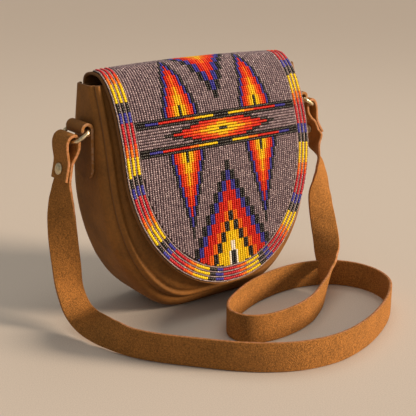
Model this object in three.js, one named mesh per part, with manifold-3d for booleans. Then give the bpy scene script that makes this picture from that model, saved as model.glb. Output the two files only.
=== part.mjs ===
// Beaded crossbody bag: a U-shaped leather body with a gusset, a bead-covered
// flap hinged along the back top edge, two side tabs with D-rings, and one long
// leather strap whose ends fold over the rings and are riveted.
// Millimetres. +Z up, front towards -Y, origin on the ground under the body.
import * as THREE from 'three';
import { mergeVertices } from 'three/addons/utils/BufferGeometryUtils.js';
import Module from 'manifold-3d';

const wasm = await Module();
wasm.setup();

// Leather and fits
const BODY_LEATHER = 2.2;
const FLAP_LEATHER = 2.2;
const TAB_LEATHER = 2.2;
const SEAT_GAP = 0.3;
const FLAP_CLEARANCE = 1;

// Beadwork: rows of sewn beads, called lanes
const LANE_PITCH = 2.1;
const FIELD_LANES = 72;
const BORDER_LANES = 6;
const BORDER_THIN_LANE = 1.2;
const BORDER_BROAD_LANES = 3;
const BEAD_HEIGHT = 2.0;
const THIN_BEAD_HEIGHT = 1.3;
const FEATHER_LANE = 17;
const BAND_LANES = 13;
const BAR_LANES = 3;
const BAR_FLAME_INNER = 7.3;
const BAR_FLAME_OUTER = 67;
const DIAMOND_HALF = 46;

// Beadwork: places along the flap, the first two measured from the hinge and the
// figures' tips from the nearer side of the band
const BEAD_START = 20;
const BAND_START = 74.3;
const UPPER_FEATHER = 47.3;
const TRIANGLE_TIP_ABOVE = 9.3;
const TRIANGLE_FLAME_ABOVE = 24.3;
const LOWER_FEATHER = 66.4;
const PYRAMID_TIP_BELOW = 12.4;
const PYRAMID_FLAME_BELOW = 26;
const PYRAMID_CORE_BELOW = 52.4;
const PYRAMID_HEART_BELOW = 76.4;
const CUT_THROUGH = 2;
const STEP_RAMP = 0.4;

// Flap
const FLAP_EDGE = 1.2;
const FLAP_CROWN = 2.5;
const CROWN_RAMP = 25;
const SIDE_BELOW_BAND = 2.4;
const FLAP_BOTTOM_FLAT = 2;
const TAIL_HEIGHT = 20;
const HINGE_RISE = 1;
const HINGE_GAP = 0.5;

// Flap profile from the hinge line over the crest and down the front, as steps
// back to front (negative is forward) and up from the hinge
const FLAP_PROFILE = [
  [0, 0], [-0.7, 4], [-4, 7.6], [-10, 10.2], [-17.5, 11.3], [-24.5, 10.3], [-31.5, 5.7],
  [-37, 0.2], [-41.5, -6.1], [-47.4, -17.5], [-51.5, -29], [-55.5, -42], [-58.5, -57],
  [-61, -75], [-64.5, -101], [-68.3, -128], [-72.4, -158],
];

// Body: both panels end at the seam line, a U with a short flat bottom
const SIDE_MARGIN = 5.6;
const GUSSET_TOP = 182;
const GUSSET_ROLL_BOTTOM = 11;
const GUSSET_ROLL_TOP = 4;
const GUSSET_FLAT = 0.62;
const FLAT_HALF_LENGTH = 28;
const CORNER_HEIGHT = 107;
const FRONT_SEAM_TOP = -8.5;
const FRONT_SEAM_BOTTOM = -33;
const BACK_SEAM_TOP = 17.5;
const BACK_SEAM_BOTTOM = 29;
const BACK_TOP_DROP = 2;
const BACK_BULGE = 6;
const FRONT_RISE = 38;

// Side tabs and D-rings
const TAB_WIDTH = 24;
const TAB_LOOP_HEIGHT = 152;
const TAB_LOOP_RADIUS = 5;
const TAB_DROP = 39;
const TAB_CORNER = 10;
const TAB_TRIM = 1;
const RING_WIRE = 3;
const RING_DEPTH = 13;
const RING_CORNER = 2.4;
const RING_SIDE_GAP = 0.6;
const RING_TILT = THREE.MathUtils.degToRad(58);

// Strap and rivets
const STRAP_WIDTH = 22;
const STRAP_THICK = 2.6;
const FOLD_TILT = THREE.MathUtils.degToRad(12);
const FOLD_PLAY = 2;
const FOLD_BULGE = 4.8;
const FOLD_FLAT = 5.5;
const RIVET_DROP = 21.5;
const STRAP_TAIL = 8;
const RIGHT_LEAN = 0.011;
const RIVET_HEAD = 9;
const RIVET_DOME = 1.9;
const RIVET_POST = 3.4;
const RIVET_WASHER = 8;
const RIVET_WASHER_THICK = 1;

// Mesh fineness
const CREST_STEP = 6;
const FRONT_STEP = 15;
const CREST_END = 60;
const STEPS_BEHIND_BEADS = 3;
const ROUND_SIDES = 20;
const WIRE_SIDES = 8;
const FLAP_SAMPLES = 160;

// Sizes worked out from the ones above
const BEAD_HALF = (FIELD_LANES / 2 + BORDER_LANES) * LANE_PITCH;
const FIELD_HALF = (FIELD_LANES / 2) * LANE_PITCH;
const BAND_END = BAND_START + BAND_LANES * LANE_PITCH;
const FLAP_HALF = BEAD_HALF + FLAP_EDGE;
const FLAP_SIDE_LENGTH = BAND_END + SIDE_BELOW_BAND;
const SEAM_HALF = FLAP_HALF + SIDE_MARGIN;
const SEAM_BOTTOM = GUSSET_ROLL_BOTTOM;
const CORNER_TOP = SEAM_BOTTOM + CORNER_HEIGHT;
const BACK_TOP = GUSSET_TOP - BACK_TOP_DROP;
const HINGE_Z = BACK_TOP + HINGE_RISE;
const TAIL_BOTTOM = BACK_TOP - TAIL_HEIGHT;
const WIRE_R = RING_WIRE / 2;

// Colours
const TAN_LEATHER = 0x8a5a26;
const LIGHT_LEATHER = 0xb9702c;
const NICKEL = 0xb8b2a4;
const BEAD_GREY = 0x9c8889;
const BEAD_BLACK = 0x1a1716;
const BEAD_BLUE = 0x3b3fa0;
const BEAD_RED = 0xd02a1e;
const BEAD_ORANGE = 0xf07818;
const BEAD_YELLOW = 0xf2c81c;
const BEAD_WHITE = 0xf4f0e4;

const clamp01 = (value) => Math.min(1, Math.max(0, value));
const smooth = (value) => clamp01(value) ** 2 * (3 - 2 * clamp01(value));

// Mesh helpers

function signedVolume(positions, index) {
  let volume = 0;
  const a = new THREE.Vector3();
  const b = new THREE.Vector3();
  const c = new THREE.Vector3();
  for (let i = 0; i < index.length; i += 3) {
    a.fromArray(positions, 3 * index[i]);
    b.fromArray(positions, 3 * index[i + 1]);
    c.fromArray(positions, 3 * index[i + 2]);
    volume += a.dot(b.cross(c)) / 6;
  }
  return volume;
}

// Turns the faces of a closed mesh outwards.
function facingOut(geometry) {
  const index = Array.from(geometry.index.array);
  if (signedVolume(geometry.attributes.position.array, index) < 0) {
    for (let i = 0; i < index.length; i += 3) {
      [index[i + 1], index[i + 2]] = [index[i + 2], index[i + 1]];
    }
    geometry.setIndex(index);
  }
  return geometry;
}

function welded(geometry) {
  geometry.deleteAttribute('normal');
  geometry.deleteAttribute('uv');
  return facingOut(mergeVertices(geometry, 1e-4));
}

// Closed shell between two grids of points with the same rows and columns.
function closedShell(outer, inner) {
  const rows = outer.length;
  const columns = outer[0].length;
  const points = [...outer.flat(), ...inner.flat()];
  const outerAt = (row, column) => row * columns + column;
  const innerAt = (row, column) => rows * columns + row * columns + column;
  const index = [];
  const quad = (a, b, c, d) => index.push(a, b, c, a, c, d);
  for (let r = 0; r < rows - 1; r += 1) {
    for (let c = 0; c < columns - 1; c += 1) {
      quad(outerAt(r, c), outerAt(r, c + 1), outerAt(r + 1, c + 1), outerAt(r + 1, c));
      quad(innerAt(r, c), innerAt(r + 1, c), innerAt(r + 1, c + 1), innerAt(r, c + 1));
    }
    quad(outerAt(r, 0), outerAt(r + 1, 0), innerAt(r + 1, 0), innerAt(r, 0));
    const last = columns - 1;
    quad(outerAt(r, last), innerAt(r, last), innerAt(r + 1, last), outerAt(r + 1, last));
  }
  for (let c = 0; c < columns - 1; c += 1) {
    quad(outerAt(0, c), innerAt(0, c), innerAt(0, c + 1), outerAt(0, c + 1));
    const last = rows - 1;
    quad(outerAt(last, c), outerAt(last, c + 1), innerAt(last, c + 1), innerAt(last, c));
  }
  const geometry = new THREE.BufferGeometry().setFromPoints(points);
  geometry.setIndex(index);
  return facingOut(geometry);
}

function toSolid(geometry) {
  const clean = welded(geometry.clone());
  return new wasm.Manifold(new wasm.Mesh({
    numProp: 3,
    vertProperties: Float32Array.from(clean.attributes.position.array),
    triVerts: Uint32Array.from(clean.index.array),
  }));
}

function toGeometry(solid) {
  const mesh = solid.getMesh();
  const geometry = new THREE.BufferGeometry();
  geometry.setAttribute('position', new THREE.BufferAttribute(mesh.vertProperties, 3));
  geometry.setIndex(Array.from(mesh.triVerts));
  return geometry;
}

// Body

const seamShare = (z) => clamp01((z - SEAM_BOTTOM) / (GUSSET_TOP - SEAM_BOTTOM));
const frontSeam = (z) => (
  FRONT_SEAM_BOTTOM + (FRONT_SEAM_TOP - FRONT_SEAM_BOTTOM) * seamShare(z) ** 2.6
);
const backSeam = (z) => (
  BACK_SEAM_BOTTOM + (BACK_SEAM_TOP - BACK_SEAM_BOTTOM) * seamShare(z) ** 4
);

// Half the width of the seam line at a height.
function seamHalf(z) {
  const drop = clamp01((CORNER_TOP - z) / CORNER_HEIGHT);
  return FLAT_HALF_LENGTH + (SEAM_HALF - FLAT_HALF_LENGTH) * Math.sqrt(1 - drop * drop);
}

// Heights of the grid rows, close together where the seam line turns.
function bodyHeights(top, cornerRows = 8, sideRows = 4) {
  const heights = [];
  for (let i = 0; i < cornerRows; i += 1) {
    heights.push(CORNER_TOP - CORNER_HEIGHT * Math.cos((i / cornerRows) * (Math.PI / 2)));
  }
  for (let i = 0; i <= sideRows; i += 1) {
    heights.push(CORNER_TOP + (top - CORNER_TOP) * (i / sideRows));
  }
  return heights;
}

// Flap surface: across the flap, along its profile from the hinge, and out from
// the leather's outer face.

function backFace(x, z) {
  const share = clamp01((z - SEAM_BOTTOM) / (TAIL_BOTTOM - SEAM_BOTTOM));
  const pillow = 1 - Math.min(1, Math.abs(x) / seamHalf(z)) ** 3;
  return backSeam(z) + BACK_BULGE * pillow * Math.sin(Math.PI * share) ** 2;
}

const HINGE_Y = backFace(0, BACK_TOP) + SEAT_GAP + FLAP_LEATHER;

const flapCurve = new THREE.SplineCurve(
  FLAP_PROFILE.map(([back, up]) => new THREE.Vector2(HINGE_Y + back, HINGE_Z + up)),
);
flapCurve.arcLengthDivisions = 800;
const FLAP_LENGTH = flapCurve.getLength();

function flapPoint(across, along, out) {
  const share = clamp01(along / FLAP_LENGTH);
  const point = flapCurve.getPointAt(share);
  const tangent = flapCurve.getTangentAt(share);
  const ramp = clamp01(along / CROWN_RAMP);
  const lift = out - FLAP_CROWN * (across / FLAP_HALF) ** 2 * ramp;
  return new THREE.Vector3(across, point.x + tangent.y * lift, point.y - tangent.x * lift);
}

// Places along the flap where its mesh bends, shared by the leather and the beads.
function stations(from, to) {
  const places = [from];
  let next = BEAD_START - STEPS_BEHIND_BEADS * CREST_STEP;
  while (next < to) {
    if (next > from + 0.5 && next < to - 0.5) places.push(next);
    next += next < CREST_END ? CREST_STEP : FRONT_STEP;
  }
  places.push(to);
  return places;
}

// Half-width of the flap's outline, moved in by an inset, row by row.
function flapRows(start, inset, roundRows = 10) {
  const straightEnd = FLAP_SIDE_LENGTH;
  const rows = stations(start, straightEnd).map((along) => ({ along, half: FLAP_HALF - inset }));
  const wide = FLAP_HALF - FLAP_BOTTOM_FLAT;
  const tall = FLAP_LENGTH - straightEnd;
  for (let i = 1; i <= roundRows; i += 1) {
    const turn = (i / roundRows) * (Math.PI / 2);
    const normal = new THREE.Vector2(tall * Math.cos(turn), wide * Math.sin(turn)).normalize();
    rows.push({
      along: straightEnd + tall * Math.sin(turn) - inset * normal.y,
      half: FLAP_BOTTOM_FLAT + wide * Math.cos(turn) - inset * normal.x,
    });
  }
  return rows.filter((row) => row.half > 0);
}

// Solid over the flap's outline between two levels out from the leather.
function flapSheet(rows, low, high, columns = 10, centre = 0) {
  const grid = (out) => rows.map(({ along, half }) => (
    Array.from({ length: columns + 1 }, (_, i) => (
      flapPoint(centre + half * (2 * (i / columns) - 1), along, out)))
  ));
  return closedShell(grid(high), grid(low));
}

// Height of the flap's inner face towards the front, used to seat the front panel.
const flapInside = Array.from({ length: FLAP_SAMPLES + 1 }, (_, i) => {
  const along = BEAD_START + (FLAP_LENGTH - BEAD_START) * (i / FLAP_SAMPLES);
  return flapPoint(0, along, -FLAP_LEATHER);
});

function flapInsideY(z) {
  for (let i = 1; i < flapInside.length; i += 1) {
    const above = flapInside[i - 1];
    const below = flapInside[i];
    if (below.z <= z && above.z >= z) {
      return above.y + (below.y - above.y) * ((above.z - z) / (above.z - below.z));
    }
  }
  return flapInside.at(-1).y;
}

function frontFace(x, z) {
  const rise = 1 - (1 - clamp01((z - SEAM_BOTTOM) / FRONT_RISE)) ** 2.5;
  const fade = 1 - 0.65 * smooth((z - CORNER_TOP) / (GUSSET_TOP - CORNER_TOP));
  const room = Math.max(0, frontSeam(z) - flapInsideY(z) - FLAP_CLEARANCE);
  const pillow = 1 - Math.min(1, Math.abs(x) / seamHalf(z)) ** 3.5;
  return frontSeam(z) - room * rise * fade * pillow;
}

// Panel whose outer face is a height over the front view and whose edge is the seam.
function panelGeometry(top, face, inward, columns = 12) {
  const grid = (offset) => bodyHeights(top).map((z) => (
    Array.from({ length: columns + 1 }, (_, i) => {
      const x = seamHalf(z) * Math.sin((i / columns - 0.5) * Math.PI);
      return new THREE.Vector3(x, face(x, z) + offset, z);
    })
  ));
  return closedShell(grid(0), grid(inward));
}

const gussetRoll = (z) => (
  GUSSET_ROLL_TOP + (GUSSET_ROLL_BOTTOM - GUSSET_ROLL_TOP) * (1 - seamShare(z)) ** 2
);

// Distance of the gusset's outer face from the middle of the bag at a height on its side.
const gussetFace = (z) => seamHalf(z) + gussetRoll(z);

// Seam line from the top left, round the bottom, to the top right.
function seamStations() {
  const right = bodyHeights(GUSSET_TOP, 10, 4).map((z) => {
    const x = seamHalf(z);
    const wide = SEAM_HALF - FLAT_HALF_LENGTH;
    const normal = new THREE.Vector2(
      (x - FLAT_HALF_LENGTH) / wide ** 2,
      Math.min(0, z - CORNER_TOP) / CORNER_HEIGHT ** 2,
    ).normalize();
    return { x, z, normal };
  });
  const left = right.map(({ x, z, normal }) => (
    { x: -x, z, normal: new THREE.Vector2(-normal.x, normal.y) }
  ));
  return [...left.reverse(), ...right];
}

function gussetGeometry() {
  const rounded = 1 - GUSSET_FLAT;
  const turns = [0, 0.3, 0.6, 0.85, 1].map((share) => GUSSET_FLAT + rounded * Math.cos(share * Math.PI / 2));
  const crossings = [...turns.map((c) => -c), 0, ...turns.reverse()];
  const lift = (c) => Math.sqrt(1 - Math.max(0, (Math.abs(c) - GUSSET_FLAT) / rounded) ** 2);
  const edge = BODY_LEATHER + SEAT_GAP;
  const grid = (offset) => seamStations().map(({ x, z, normal }) => {
    const front = frontSeam(z) + edge;
    const back = backSeam(z) - edge;
    return crossings.map((c) => {
      const out = gussetRoll(z) * lift(c) + offset;
      const y = (front + back) / 2 + (c * (back - front)) / 2;
      return new THREE.Vector3(x + normal.x * out, y, z + normal.y * out);
    });
  });
  return closedShell(grid(0), grid(-BODY_LEATHER));
}

// Strip of the flap's leather sewn down on the outside of the back panel.
function tailGeometry() {
  const rows = 4;
  const columns = 6;
  const top = BACK_TOP - HINGE_GAP;
  const grid = (offset) => Array.from({ length: rows + 1 }, (_, r) => {
    const z = TAIL_BOTTOM + (top - TAIL_BOTTOM) * (r / rows);
    return Array.from({ length: columns + 1 }, (__, c) => {
      const x = FLAP_HALF * (2 * (c / columns) - 1);
      return new THREE.Vector3(x, backFace(x, z) + offset, z);
    });
  });
  return closedShell(grid(SEAT_GAP + FLAP_LEATHER), grid(SEAT_GAP));
}

// Beadwork: slabs of sewn beads over the leather, one for each field of colour

const BORDER_WIDTH = BORDER_LANES * LANE_PITCH;
const FIELD_INSET = FLAP_EDGE + BORDER_WIDTH + SEAT_GAP;
const fieldRows = flapRows(BAND_END + SEAT_GAP, FIELD_INSET);

const beadSlab = (rows, columns, centre = 0) => (
  toSolid(flapSheet(rows, SEAT_GAP, BEAD_HEIGHT, columns, centre))
);

const plainRows = (from, to, half) => stations(from, to).map((along) => ({ along, half }));

// Cutter through a slab, wider than its rows by a gap.
function beadCutter(rows, gap, columns, centre = 0) {
  const last = rows.length - 1;
  const grown = rows.map(({ along, half }, i) => {
    const shift = i === 0 ? -gap : 0;
    return { along: along + (i === last ? gap : shift), half: half + gap };
  });
  return toSolid(flapSheet(grown, -FLAP_LEATHER / 2, 2 * BEAD_HEIGHT, columns, centre));
}

// Rows of a figure that narrows evenly from its base to a one-lane tip.
function taperRows(halfLanes, base, tip) {
  const rows = stations(Math.min(base, tip), Math.max(base, tip)).map((along) => {
    const share = clamp01((tip - along) / (tip - base));
    return { along, half: (0.5 + (halfLanes - 0.5) * share) * LANE_PITCH };
  });
  return rows;
}

// Rows of a figure that widens in steps of the same number of lanes.
function stepRows(halfLanes, lanesPerStep, tip, base) {
  const steps = halfLanes / lanesPerStep;
  const rows = [];
  for (let i = 0; i < steps; i += 1) {
    const half = (i + 1) * lanesPerStep * LANE_PITCH;
    const from = tip + ((base - tip) * i) / steps;
    const to = tip + ((base - tip) * (i + 1)) / steps;
    rows.push({ along: from + (i === 0 ? 0 : STEP_RAMP), half }, { along: to, half });
  }
  return rows;
}

// Rows of a diamond of level lanes about the middle of the band.
function diamondRows(halfLength, halfLanes) {
  const middle = (BAND_START + BAND_END) / 2;
  const reach = halfLanes * LANE_PITCH;
  return [
    { along: middle - reach, half: 0.18 * halfLength },
    { along: middle, half: halfLength },
    { along: middle + reach, half: 0.18 * halfLength },
  ];
}

// Cuts a nest of colour fields out of a slab. Each field gives up the gap to the
// field inside it.
function inlay(ground, levels, columns, centre = 0) {
  const pieces = levels.map(({ name, colour, rows }, i) => {
    let solid = ground.intersect(beadCutter(rows, 0, columns, centre));
    const nested = levels[i + 1];
    if (nested) solid = solid.subtract(beadCutter(nested.rows, SEAT_GAP, columns, centre));
    return { name, colour, solid };
  });
  return { ground: ground.subtract(beadCutter(levels[0].rows, SEAT_GAP, columns, centre)), pieces };
}

function inlayAll(ground, motifs) {
  return motifs.reduce((state, { levels, columns, centre }) => {
    const result = inlay(state.ground, levels, columns, centre);
    return { ground: result.ground, pieces: [...state.pieces, ...result.pieces] };
  }, { ground, pieces: [] });
}

// Flame-shaped feather standing on the band: dark edge, red flame, yellow core.
function feather(name, side, base, tip) {
  const level = (part, colour, halfLanes, share) => (
    { name: `${name}_${part}`, colour, rows: taperRows(halfLanes, base, base + share * (tip - base)) }
  );
  return {
    centre: side * FEATHER_LANE * LANE_PITCH,
    columns: 2,
    levels: [
      level('edge', BEAD_BLUE, 7, 1),
      level('flame', BEAD_RED, 5, 0.84),
      level('core', BEAD_YELLOW, 3, 0.56),
    ],
  };
}

const UPPER_BASE = BAND_START + CUT_THROUGH;
const UPPER_TIP = BAND_START - UPPER_FEATHER;
const TRIANGLE_TIP = BAND_START - TRIANGLE_TIP_ABOVE;
const TRIANGLE_FLAME = BAND_START - TRIANGLE_FLAME_ABOVE;
const LOWER_BASE = BAND_END - CUT_THROUGH;
const LOWER_TIP = BAND_END + LOWER_FEATHER;
const CREST_BASE = BEAD_START - CUT_THROUGH;
const PYRAMID_BASE = FLAP_LENGTH - FIELD_INSET + CUT_THROUGH;

const triangle = {
  columns: 4,
  levels: [
    { name: 'crest_triangle_edge', colour: BEAD_BLUE, rows: taperRows(10.5, CREST_BASE, TRIANGLE_TIP) },
    { name: 'crest_triangle_flame', colour: BEAD_ORANGE, rows: taperRows(7, CREST_BASE, TRIANGLE_FLAME) },
  ],
};

const pyramidRows = (halfLanes, tipBelow) => stepRows(halfLanes, 2, BAND_END + tipBelow, PYRAMID_BASE);

const pyramid = {
  columns: 4,
  levels: [
    { name: 'pyramid_edge', colour: BEAD_BLUE, rows: pyramidRows(16, PYRAMID_TIP_BELOW) },
    { name: 'pyramid_flame', colour: BEAD_RED, rows: pyramidRows(12, PYRAMID_FLAME_BELOW) },
    { name: 'pyramid_core', colour: BEAD_YELLOW, rows: pyramidRows(6, PYRAMID_CORE_BELOW) },
    { name: 'pyramid_heart', colour: BEAD_WHITE, rows: pyramidRows(2, PYRAMID_HEART_BELOW) },
  ],
};

const upperSlab = beadSlab(plainRows(BEAD_START, BAND_START - SEAT_GAP, FIELD_HALF - SEAT_GAP), 10);
const upperField = inlayAll(upperSlab, [
  feather('feather_upper_left', -1, UPPER_BASE, UPPER_TIP),
  feather('feather_upper_right', 1, UPPER_BASE, UPPER_TIP),
  triangle,
]);

const lowerField = inlayAll(beadSlab(fieldRows, 10), [
  feather('feather_lower_left', -1, LOWER_BASE, LOWER_TIP),
  feather('feather_lower_right', 1, LOWER_BASE, LOWER_TIP),
  pyramid,
]);

// Band across the middle: a black bar above and below, each with a coloured lane
// through its left and right half, and a stepped flame between them.
const BAR_HEIGHT = BAR_LANES * LANE_PITCH;
const barStarts = { bar_upper: BAND_START, bar_lower: BAND_END - BAR_HEIGHT };

function barPieces(name) {
  const from = barStarts[name];
  const half = FIELD_HALF - SEAT_GAP;
  let solid = beadSlab(plainRows(from, from + BAR_HEIGHT, half), 10);
  const flames = [['left', -1], ['right', 1]].map(([word, side]) => {
    const middle = (side * (BAR_FLAME_INNER + BAR_FLAME_OUTER)) / 2;
    const reach = (BAR_FLAME_OUTER - BAR_FLAME_INNER) / 2;
    const rows = plainRows(from + LANE_PITCH, from + 2 * LANE_PITCH, reach);
    const lane = { name: `${name}_flame_${word}`, colour: BEAD_ORANGE };
    lane.solid = solid.intersect(beadCutter(rows, 0, 4, middle));
    solid = solid.subtract(beadCutter(rows, SEAT_GAP, 4, middle));
    return lane;
  });
  return [...flames, { name, colour: BEAD_BLACK, solid }];
}

const bandSlab = beadSlab(
  plainRows(BAND_START + BAR_HEIGHT + SEAT_GAP, BAND_END - BAR_HEIGHT - SEAT_GAP, FIELD_HALF - SEAT_GAP),
  10,
);
const bandField = inlay(bandSlab, [
  { name: 'diamond_flame', colour: BEAD_RED, rows: diamondRows(DIAMOND_HALF, 3.2) },
  { name: 'diamond_core', colour: BEAD_YELLOW, rows: diamondRows(DIAMOND_HALF / 2, 1.5) },
], 6);

// Border that follows the flap's edge from one end of the crest to the other: broad
// raised lanes with thin lower lanes beside and between them.
const BROAD_LANE = (BORDER_WIDTH - (BORDER_BROAD_LANES + 1) * BORDER_THIN_LANE) / BORDER_BROAD_LANES;

function borderSection() {
  const section = [[0, THIN_BEAD_HEIGHT]];
  for (let i = 0; i < BORDER_BROAD_LANES; i += 1) {
    const from = BORDER_THIN_LANE + i * (BROAD_LANE + BORDER_THIN_LANE);
    section.push([from, THIN_BEAD_HEIGHT], [from + 0.25 * BROAD_LANE, BEAD_HEIGHT]);
    section.push([from + 0.75 * BROAD_LANE, BEAD_HEIGHT], [from + BROAD_LANE, THIN_BEAD_HEIGHT]);
  }
  section.push([BORDER_WIDTH, THIN_BEAD_HEIGHT]);
  return section;
}

function borderGeometry() {
  const outside = flapRows(BEAD_START, FLAP_EDGE, 12);
  const inside = flapRows(BEAD_START, FLAP_EDGE + BORDER_WIDTH, 12);
  const right = outside.map((outer, i) => ({ outer, inner: inside[i], side: 1 }));
  const left = right.map((place) => ({ ...place, side: -1 })).reverse();
  const grid = (height) => [...right, ...left].map(({ outer, inner, side }) => (
    borderSection().map(([inwards, top]) => {
      const share = inwards / BORDER_WIDTH;
      const across = outer.half + (inner.half - outer.half) * share;
      const along = outer.along + (inner.along - outer.along) * share;
      return flapPoint(side * across, along, height ?? top);
    })
  ));
  return closedShell(grid(), grid(SEAT_GAP));
}

// Side tabs and rings

const loopInside = TAB_LOOP_RADIUS - TAB_LEATHER;
const loopOut = SEAT_GAP + TAB_LOOP_RADIUS;
const RING_X = gussetFace(TAB_LOOP_HEIGHT) + loopOut;
const RING_Z = TAB_LOOP_HEIGHT - (loopInside - WIRE_R - SEAT_GAP);
const RING_HALF = TAB_WIDTH / 2 + RING_SIDE_GAP + WIRE_R;
const LOOP_END = THREE.MathUtils.degToRad(-118);
const TAB_BOTTOM = TAB_LOOP_HEIGHT - TAB_DROP;

// Side view of a tab: a strip up the gusset, curled over into a loop for the ring.
function tabSection() {
  const shape = new THREE.Shape();
  const loopX = RING_X;
  const patch = [0, 0.34, 0.67].map((share) => TAB_BOTTOM + TAB_DROP * share);
  patch.forEach((z, i) => {
    const x = gussetFace(z) + SEAT_GAP;
    if (i === 0) shape.moveTo(x, z);
    else shape.lineTo(x, z);
  });
  shape.lineTo(loopX - TAB_LOOP_RADIUS, TAB_LOOP_HEIGHT);
  shape.absarc(loopX, TAB_LOOP_HEIGHT, TAB_LOOP_RADIUS, Math.PI, LOOP_END, true);
  shape.absarc(loopX, TAB_LOOP_HEIGHT, loopInside, LOOP_END, Math.PI, false);
  patch.reverse().forEach((z) => {
    shape.lineTo(gussetFace(z) + SEAT_GAP + TAB_LEATHER, z);
  });
  return shape;
}

function tabGeometry(side) {
  const strip = new THREE.ExtrudeGeometry(
    tabSection(),
    { depth: TAB_WIDTH, bevelEnabled: false, curveSegments: ROUND_SIDES / 2 },
  );
  strip.translate(0, 0, -TAB_WIDTH / 2).rotateX(Math.PI / 2);
  const outline = new THREE.Shape();
  const half = TAB_WIDTH / 2 + TAB_TRIM;
  const top = TAB_LOOP_HEIGHT + 2 * TAB_LOOP_RADIUS;
  outline.moveTo(-half, top);
  outline.lineTo(-half, TAB_BOTTOM + TAB_CORNER);
  outline.absarc(-half + TAB_CORNER, TAB_BOTTOM + TAB_CORNER, TAB_CORNER, Math.PI, 1.5 * Math.PI, false);
  outline.absarc(half - TAB_CORNER, TAB_BOTTOM + TAB_CORNER, TAB_CORNER, 1.5 * Math.PI, 2 * Math.PI, false);
  outline.lineTo(half, top);
  const cutter = new THREE.ExtrudeGeometry(
    outline,
    { depth: 2 * RING_X, bevelEnabled: false, curveSegments: 6 },
  );
  cutter.rotateX(Math.PI / 2).rotateZ(Math.PI / 2);
  const geometry = toGeometry(toSolid(strip).intersect(toSolid(cutter)));
  if (side < 0) geometry.rotateZ(Math.PI);
  return geometry;
}

// Place beside a ring: out from its plane, down from its bar, and along the bar.
function ringPlace(side, out, down, along) {
  const x = RING_X + down * Math.sin(RING_TILT) + out * Math.cos(RING_TILT);
  const z = RING_Z - down * Math.cos(RING_TILT) + out * Math.sin(RING_TILT);
  return new THREE.Vector3(side * x, along, z);
}

// Middle of the ring's wire: a flat bar with round corners above, a flattened bow below.
function ringLine() {
  const corner = RING_HALF - RING_CORNER;
  const arc = (side, turn) => new THREE.Vector2(
    side * (corner + RING_CORNER * Math.sin(turn)),
    RING_CORNER * (1 - Math.cos(turn)),
  );
  const turns = [0, 0.25, 0.5, 0.75].map((share) => share * Math.PI / 2);
  const bow = Array.from({ length: 17 }, (_, i) => {
    const turn = (i / 16) * Math.PI;
    const wide = Math.sign(Math.cos(turn)) * Math.sqrt(Math.abs(Math.cos(turn)));
    const deep = Math.sqrt(Math.max(0, Math.sin(turn)));
    return new THREE.Vector2(RING_HALF * wide, RING_CORNER + (RING_DEPTH - RING_CORNER) * deep);
  });
  bow[16].y = RING_CORNER;
  return [
    new THREE.Vector2(0, 0),
    ...turns.map((turn) => arc(1, turn)),
    ...bow,
    ...turns.reverse().map((turn) => arc(-1, turn)),
  ];
}

function ringGeometry(side) {
  const line = ringLine();
  const count = line.length;
  const points = [];
  const index = [];
  line.forEach((middle, i) => {
    const before = line[(i + count - 1) % count];
    const after = line[(i + 1) % count];
    const tangent = after.clone().sub(before).normalize();
    for (let k = 0; k < WIRE_SIDES; k += 1) {
      const turn = (k / WIRE_SIDES) * 2 * Math.PI;
      const inPlane = WIRE_R * Math.cos(turn);
      points.push(ringPlace(
        side,
        WIRE_R * Math.sin(turn),
        middle.y - tangent.x * inPlane,
        middle.x + tangent.y * inPlane,
      ));
      const a = i * WIRE_SIDES + k;
      const b = i * WIRE_SIDES + ((k + 1) % WIRE_SIDES);
      const c = ((i + 1) % count) * WIRE_SIDES + ((k + 1) % WIRE_SIDES);
      const d = ((i + 1) % count) * WIRE_SIDES + k;
      index.push(a, b, c, a, c, d);
    }
  });
  const geometry = new THREE.BufferGeometry().setFromPoints(points);
  geometry.setIndex(index);
  return facingOut(geometry);
}

// Strap

const LAYER = STRAP_THICK / 2 + SEAT_GAP / 2 + 0.03;
const FOLD_TOP = -WIRE_R - FOLD_PLAY - STRAP_THICK / 2;
const FOLD_SHOULDER = FOLD_TOP + 0.85 * STRAP_THICK;

// Folded end of the strap over a ring, as places out from its middle plane and down
// from the ring's bow, from the cut end over the wire to below the rivet.
const FOLD = [
  [LAYER, RIVET_DROP + STRAP_TAIL],
  [LAYER, RIVET_DROP + FOLD_FLAT],
  [LAYER, RIVET_DROP - FOLD_FLAT],
  [0.52 * FOLD_BULGE, 0.55 * RIVET_DROP],
  [0.9 * FOLD_BULGE, 0.28 * RIVET_DROP],
  [FOLD_BULGE, 0.05 * RIVET_DROP],
  [0.75 * FOLD_BULGE, FOLD_SHOULDER],
  [0, FOLD_TOP],
  [-0.75 * FOLD_BULGE, FOLD_SHOULDER],
  [-FOLD_BULGE, 0.05 * RIVET_DROP],
  [-1.02 * FOLD_BULGE, 0.28 * RIVET_DROP],
  [-0.63 * FOLD_BULGE, 0.55 * RIVET_DROP],
  [-LAYER, RIVET_DROP - FOLD_FLAT],
  [-LAYER, RIVET_DROP + 0.55 * FOLD_FLAT],
  [-LAYER, RIVET_DROP + 1.45 * FOLD_FLAT],
];

// The right end is drawn forwards by the strap on the ground, the left end hangs straight.
function foldLean(side, down) {
  return side > 0 ? -RIGHT_LEAN * Math.max(0, down) ** 2 : 0;
}

// Place beside a folded end: out from its middle plane and down from the ring's bow.
function foldPlace(side, out, down) {
  const bow = ringPlace(side, 0, RING_DEPTH, foldLean(side, down));
  bow.x += side * (down * Math.sin(FOLD_TILT) + out * Math.cos(FOLD_TILT));
  bow.z += out * Math.sin(FOLD_TILT) - down * Math.cos(FOLD_TILT);
  return bow;
}

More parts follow.
